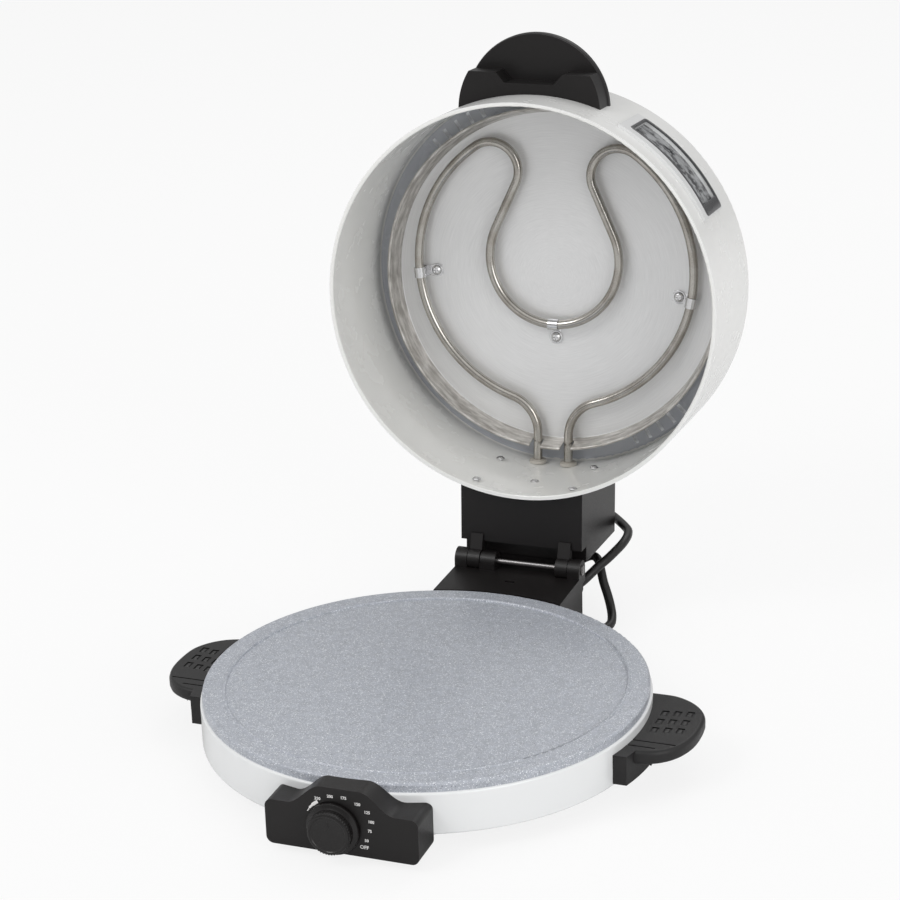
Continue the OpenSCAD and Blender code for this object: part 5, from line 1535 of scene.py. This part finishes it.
@dataclass
class SideHandles:
    """The two flat paddles with their grip pattern. All sizes are in millimetres.

    Attributes:
        body: the body's radius.
        block: radius of the mounting block's outer face.
        top: height of the paddle's top face.
        rows: number of rows and of columns of pads.
        wing: from where to where, across, the shapes that are cut away reach.
        under: the same for what is cut away below the paddle, and its lower and upper end.
        half: half the mounting block's length.
        oval: the oval's middle across and along, and its half widths.
        edge: height and inset of each outline in the paddle's rounded edge.
    """

    body: float = 156.6
    block: float = 165.7
    top: float = 37.0
    rows: int = 3
    wing: tuple[float, float] = (130.0, 215.0)
    under: tuple[float, float, float, float] = (170.0, 215.0, 5.0, 26.9)
    half: float = 49.1
    oval: tuple[float, float, float, float] = (156.0, 8.0, 38.1, 48.0)
    edge: tuple[tuple[float, float], ...] = (
        (26.0, 3.4), (27.0, 3.0), (27.4, 1.6), (28.4, 0.5), (30.0, 0.0), (34.0, 0.0), (35.6, 0.5), (36.6, 1.6),
        (37.0, 3.0), (38.6, 3.6))

    def build(self, trees: Trees) -> None:
        """Makes both handles and the raised pads in their pockets.

        Args:
            trees: the geometry node trees.
        """
        for side, sign in (("left", -1.0), ("right", 1.0)):
            node = "side_handle_" + side
            below = block((sign * self.under[0], sign * self.under[1]), (-60.0, 60.0), self.under[2:])
            cuts = (self._around(sign), self._end(sign, -1.0), self._end(sign, 1.0), below)
            shape = carved(merged(node), [("DIFFERENCE", cut) for cut in cuts])
            paddle = rounded(shape, "paddle_" + side, 0.35 * MM, Finishes.paddle, limit=42.0)
            settle(paddle, Body.BASE, Slot.MOULDING, node)
            dots = [Vector((sign * (self.body + 8.5 + i * 8.5), -5.0 + j * 13.0 + i * 1.5, self.top - 0.4))
                    * MM for i in range(self.rows) for j in range(self.rows)]
            pads = trees.pads.run("paddle_pads_" + side, dots_mesh(dots), Finishes.paddle_pad)
            settle(pads, Body.BASE, Slot.MOULDING)

    def _around(self, sign: float) -> bpy.types.Mesh:
        """Makes the shape to cut away round the paddle's oval outline.

        Args:
            sign: 1 for the right handle, -1 for the left one.

        Returns:
            A block with the oval left open, clear of the mounting block.
        """
        steps = 96

        def full(share: float) -> float:
            """Returns: a share of the half width, pushed out a little from a plain oval."""
            return math.copysign(abs(share) ** 0.86, share)

        x, y, wide, long = self.oval
        turns = [2 * math.pi * k / steps for k in range(steps)]
        loops = [[(sign * (x + (wide - inset) * full(math.cos(a))), y + (long - inset) * full(math.sin(a)), z)
                  for a in turns] for z, inset in self.edge]
        round_turns = [2 * math.pi * k / 180 for k in range(180)]
        ring = [(self.block * math.cos(a), self.block * math.sin(a)) for a in round_turns]
        around = block((sign * self.wing[0], sign * self.wing[1]), (-70.0, 70.0), (26.5, 38.0))
        return carved(around, [("DIFFERENCE", lofted(loops)), ("DIFFERENCE", prism(ring, 20.0, 50.0))])

    def _end(self, sign: float, side: float) -> bpy.types.Mesh:
        """Returns: the shape to cut away beyond one end of the mounting block."""
        return block((sign * self.wing[0], sign * self.wing[1]), (side * self.half, side * 70.0), (26.4, 38.1))


@dataclass
class HingeHousing:
    """Bracket on the base and arm on the lid, with their rounded edges."""

    edge: float = 0.7 * MM
    cover_edge: float = 0.5 * MM

    def build(self) -> None:
        """Makes the moulded housings."""
        for node, name, edge, body in (("hinge_bracket", "hinge_bracket_cover", self.edge, Body.BASE),
                                       ("hinge_arm", "hinge_arm_housing", self.edge, Body.LID),
                                       ("hinge_arm_cover", "hinge_arm_lid", self.cover_edge, Body.LID)):
            settle(rounded(node, name, edge, Finishes.moulding, limit=50.0), body, Slot.MOULDING, node)


# lid


@dataclass
class LidTrim:
    """Lid handle, vent hoods, window and the washers of the tube's clips, in millimetres.

    Attributes:
        grip_middle: the grip's middle across.
        grip_top: its outer face, on the closed lid's z axis.
        grip_floor: where the flat cheeks beside the finger recess start.
        vent_radius: how far from the middle the vents stand.
        vent_turns: direction of the middle vent of each row, in degrees.
        vent_pitch: angle from one vent to the next.
        window_turn: direction of the window's middle, in degrees.
        window_span: angle that the window's surround takes.
        window_low: height of the surround's datum, the closed lid's rim.
    """

    grip_middle: float = -4.0
    grip_top: float = 106.3
    grip_floor: float = 88.4
    vent_radius: float = 140.6
    vent_turns: tuple[float, float] = (-126, 54)
    vent_pitch: float = 4.7
    window_turn: float = -44.6
    window_span: float = 35.8
    window_low: float = 50.3

    def build(self, trees: Trees) -> None:
        """Makes the lid's fine pieces.

        Args:
            trees: the geometry node trees.
        """
        grip = rounded(self._grip(), "lid_grip", 0.9 * MM, Finishes.moulding, limit=40.0, steps=3)
        settle(grip, Body.LID, Slot.MOULDING, "lid_handle")
        self._louvres(trees)
        surround = rounded("window_bezel", "window_surround", 0.5 * MM, Finishes.surround, limit=50.0, steps=3)
        settle(surround, Body.LID, Slot.FRAME, "window_bezel")
        self._window_frame()
        self._washers(trees)

    def _grip(self) -> bpy.types.Mesh:
        """Returns: the lid's grip with a finger recess whose ends slope up to its shoulders."""
        opened = HINGE.matrix()
        middle, low, high = self.grip_middle, self.grip_floor, self.grip_top
        steps = []
        for s in (-1.0, 1.0):
            cheek = block((middle + s * 18.0, middle + s * 33.0), (-166.0, -156.8), (low, high + 1.0), opened)
            steps.append(("UNION", cheek))
        recess = [(middle - 19.0, -158.4), (middle + 19.0, -158.4), (middle + 31.0, -172.0),
                  (middle - 31.0, -172.0)]
        steps.append(("DIFFERENCE", prism(recess, low - 30.0, high, opened)))
        return carved(merged("lid_handle"), steps)

    def _louvres(self, trees: Trees) -> None:
        """Sets the hoods over the lid's vent slots.

        Args:
            trees: the geometry node trees.
        """
        turns = [math.radians(c + i * self.vent_pitch) for c in self.vent_turns for i in range(-2, 3)]
        top = LID.top / MM - 0.6
        dots = [Vector((self.vent_radius * math.cos(a), self.vent_radius * math.sin(a), top)) * MM
                for a in turns]
        place = HINGE.matrix()
        hoods = trees.louvres.run("vent_hoods", dots_mesh(dots), Finishes.shaded_lid_hood,
                                  Place=place.to_translation(), Turn=Vector(place.to_euler()))
        settle(hoods, Body.LID, Slot.ENAMEL)

    def _washers(self, trees: Trees) -> None:
        """Sets a washer round the head of each clip screw.

        Args:
            trees: the geometry node trees.
        """
        axis = HINGE.matrix().to_3x3() @ Vector((0, 0, -1))
        places = screw_places("clip_screws")
        washers = trees.washer.run("clip_washers", dots_mesh(places), Finishes.bright, Middle=4.55 * MM,
                                   Width=1.3 * MM, Thickness=0.6 * MM, Axis=axis)
        settle(washers, Body.LID, Slot.ZINC)

    def _window_frame(self) -> None:
        """Makes the dark glossy frame that lies inside the pale surround."""
        h = self.window_span / 2
        outer = (-h + 2.5, h - 0.5, 20.0 + 8.6, 70.0 - 0.9)
        hole = (-h + 3.5, h - 3.9, 20.0 + 11.6, 70.0 - 4.2)
        low, high = 151.9, 152.9
        bm = bmesh.new()
        steps = 40

        def ring(area: tuple[float, float, float, float], radius: float, soft: float) -> list[bmesh.types.BMVert]:
            """Returns: the outline of a curved rounded rectangle, as new vertices."""
            a0, a1, z0, z1 = area
            da = math.degrees(soft / 150.0)
            spots = []
            for ca, cz, start in ((a1 - da, z1 - soft, 0), (a0 + da, z1 - soft, 90),
                                  (a0 + da, z0 + soft, 180), (a1 - da, z0 + soft, 270)):
                for k in range(5):
                    t = math.radians(start + 22.5 * k)
                    spots.append((ca + da * math.cos(t), cz + soft * math.sin(t)))
            full = []
            for (aa, za), (ab, zb) in zip(spots, spots[1:] + spots[:1]):
                count = steps if abs(ab - aa) > 8 else 1
                full += [(aa + (ab - aa) * i / count, za + (zb - za) * i / count) for i in range(count)]
            made = []
            for a, z in full:
                t = math.radians(self.window_turn + a)
                made.append(bm.verts.new(HINGE.opened(radius * math.cos(t) * MM, radius * math.sin(t) * MM,
                                                      (self.window_low + z) * MM)))
            return made

        loops = [ring(outer, low, 3.0), ring(outer, high - 0.25, 3.0),
                 ring((outer[0] + 0.12, outer[1] - 0.12, outer[2] + 0.3, outer[3] - 0.3), high, 2.8),
                 ring((hole[0] - 0.15, hole[1] + 0.15, hole[2] - 0.4, hole[3] + 0.4), high, 1.6),
                 ring(hole, high - 0.35, 1.3), ring(hole, low, 1.3)]
        for a, b in zip(loops, loops[1:] + loops[:1]):
            for i in range(len(a)):
                n = (i + 1) % len(a)
                bm.faces.new((a[i], a[n], b[n], b[i]))
        mesh = closed_mesh(bm, "window_dark_frame")
        smooth(mesh, 50.0)
        settle(shown("window_dark_frame", mesh, Finishes.window_frame), Body.LID, Slot.FRAME)


def screw_places(node: str) -> list[Vector]:
    """Finds the lid screws of a node by their separate solids.

    Args:
        node: a node of screws whose heads hang down in the closed lid.

    Returns:
        For each, the middle of the ring under its head, on the sheet it clamps.
    """
    back = HINGE.matrix().inverted()
    bm = bmesh.new()
    bm.from_mesh(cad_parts[node].data)
    bmesh.ops.remove_doubles(bm, verts=bm.verts, dist=DOUBLES)
    left = set(bm.verts)
    places = []
    while left:
        stack, part = [left.pop()], []
        while stack:
            v = stack.pop()
            part.append(back @ v.co)
            for e in v.link_edges:
                o = e.other_vert(v)
                if o in left:
                    left.discard(o)
                    stack.append(o)
        x = (min(p.x for p in part) + max(p.x for p in part)) / 2
        y = (min(p.y for p in part) + max(p.y for p in part)) / 2
        head = min(p.z for p in part) + 2.4 * MM
        places.append(HINGE.opened(x, y, head - 0.3 * MM))
    bm.free()
    return places


def dress_cad() -> None:
    """Gives every CAD node its finish."""
    for name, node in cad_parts.items():
        finish = CAD_FINISHES.get(name, Finishes.zinc)
        material = finish.material()
        if not node.data.materials:
            node.data.materials.append(material)
        for slot in node.material_slots:
            slot.material = material
        log.info("%s gets %s", name, finish.name)


def main() -> None:
    """Builds the camera, the leads and then each sub-assembly."""
    logging.basicConfig(level=logging.INFO, format="%(message)s")
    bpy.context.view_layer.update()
    Studio().build()
    trees = Trees()
    MainsLead().build(trees)
    LidLead().build(trees)
    ControlPanel().build(trees)
    SideHandles().build(trees)
    HingeHousing().build()
    LidTrim().build(trees)
    dress_cad()


if __name__ == "__main__":
    main()
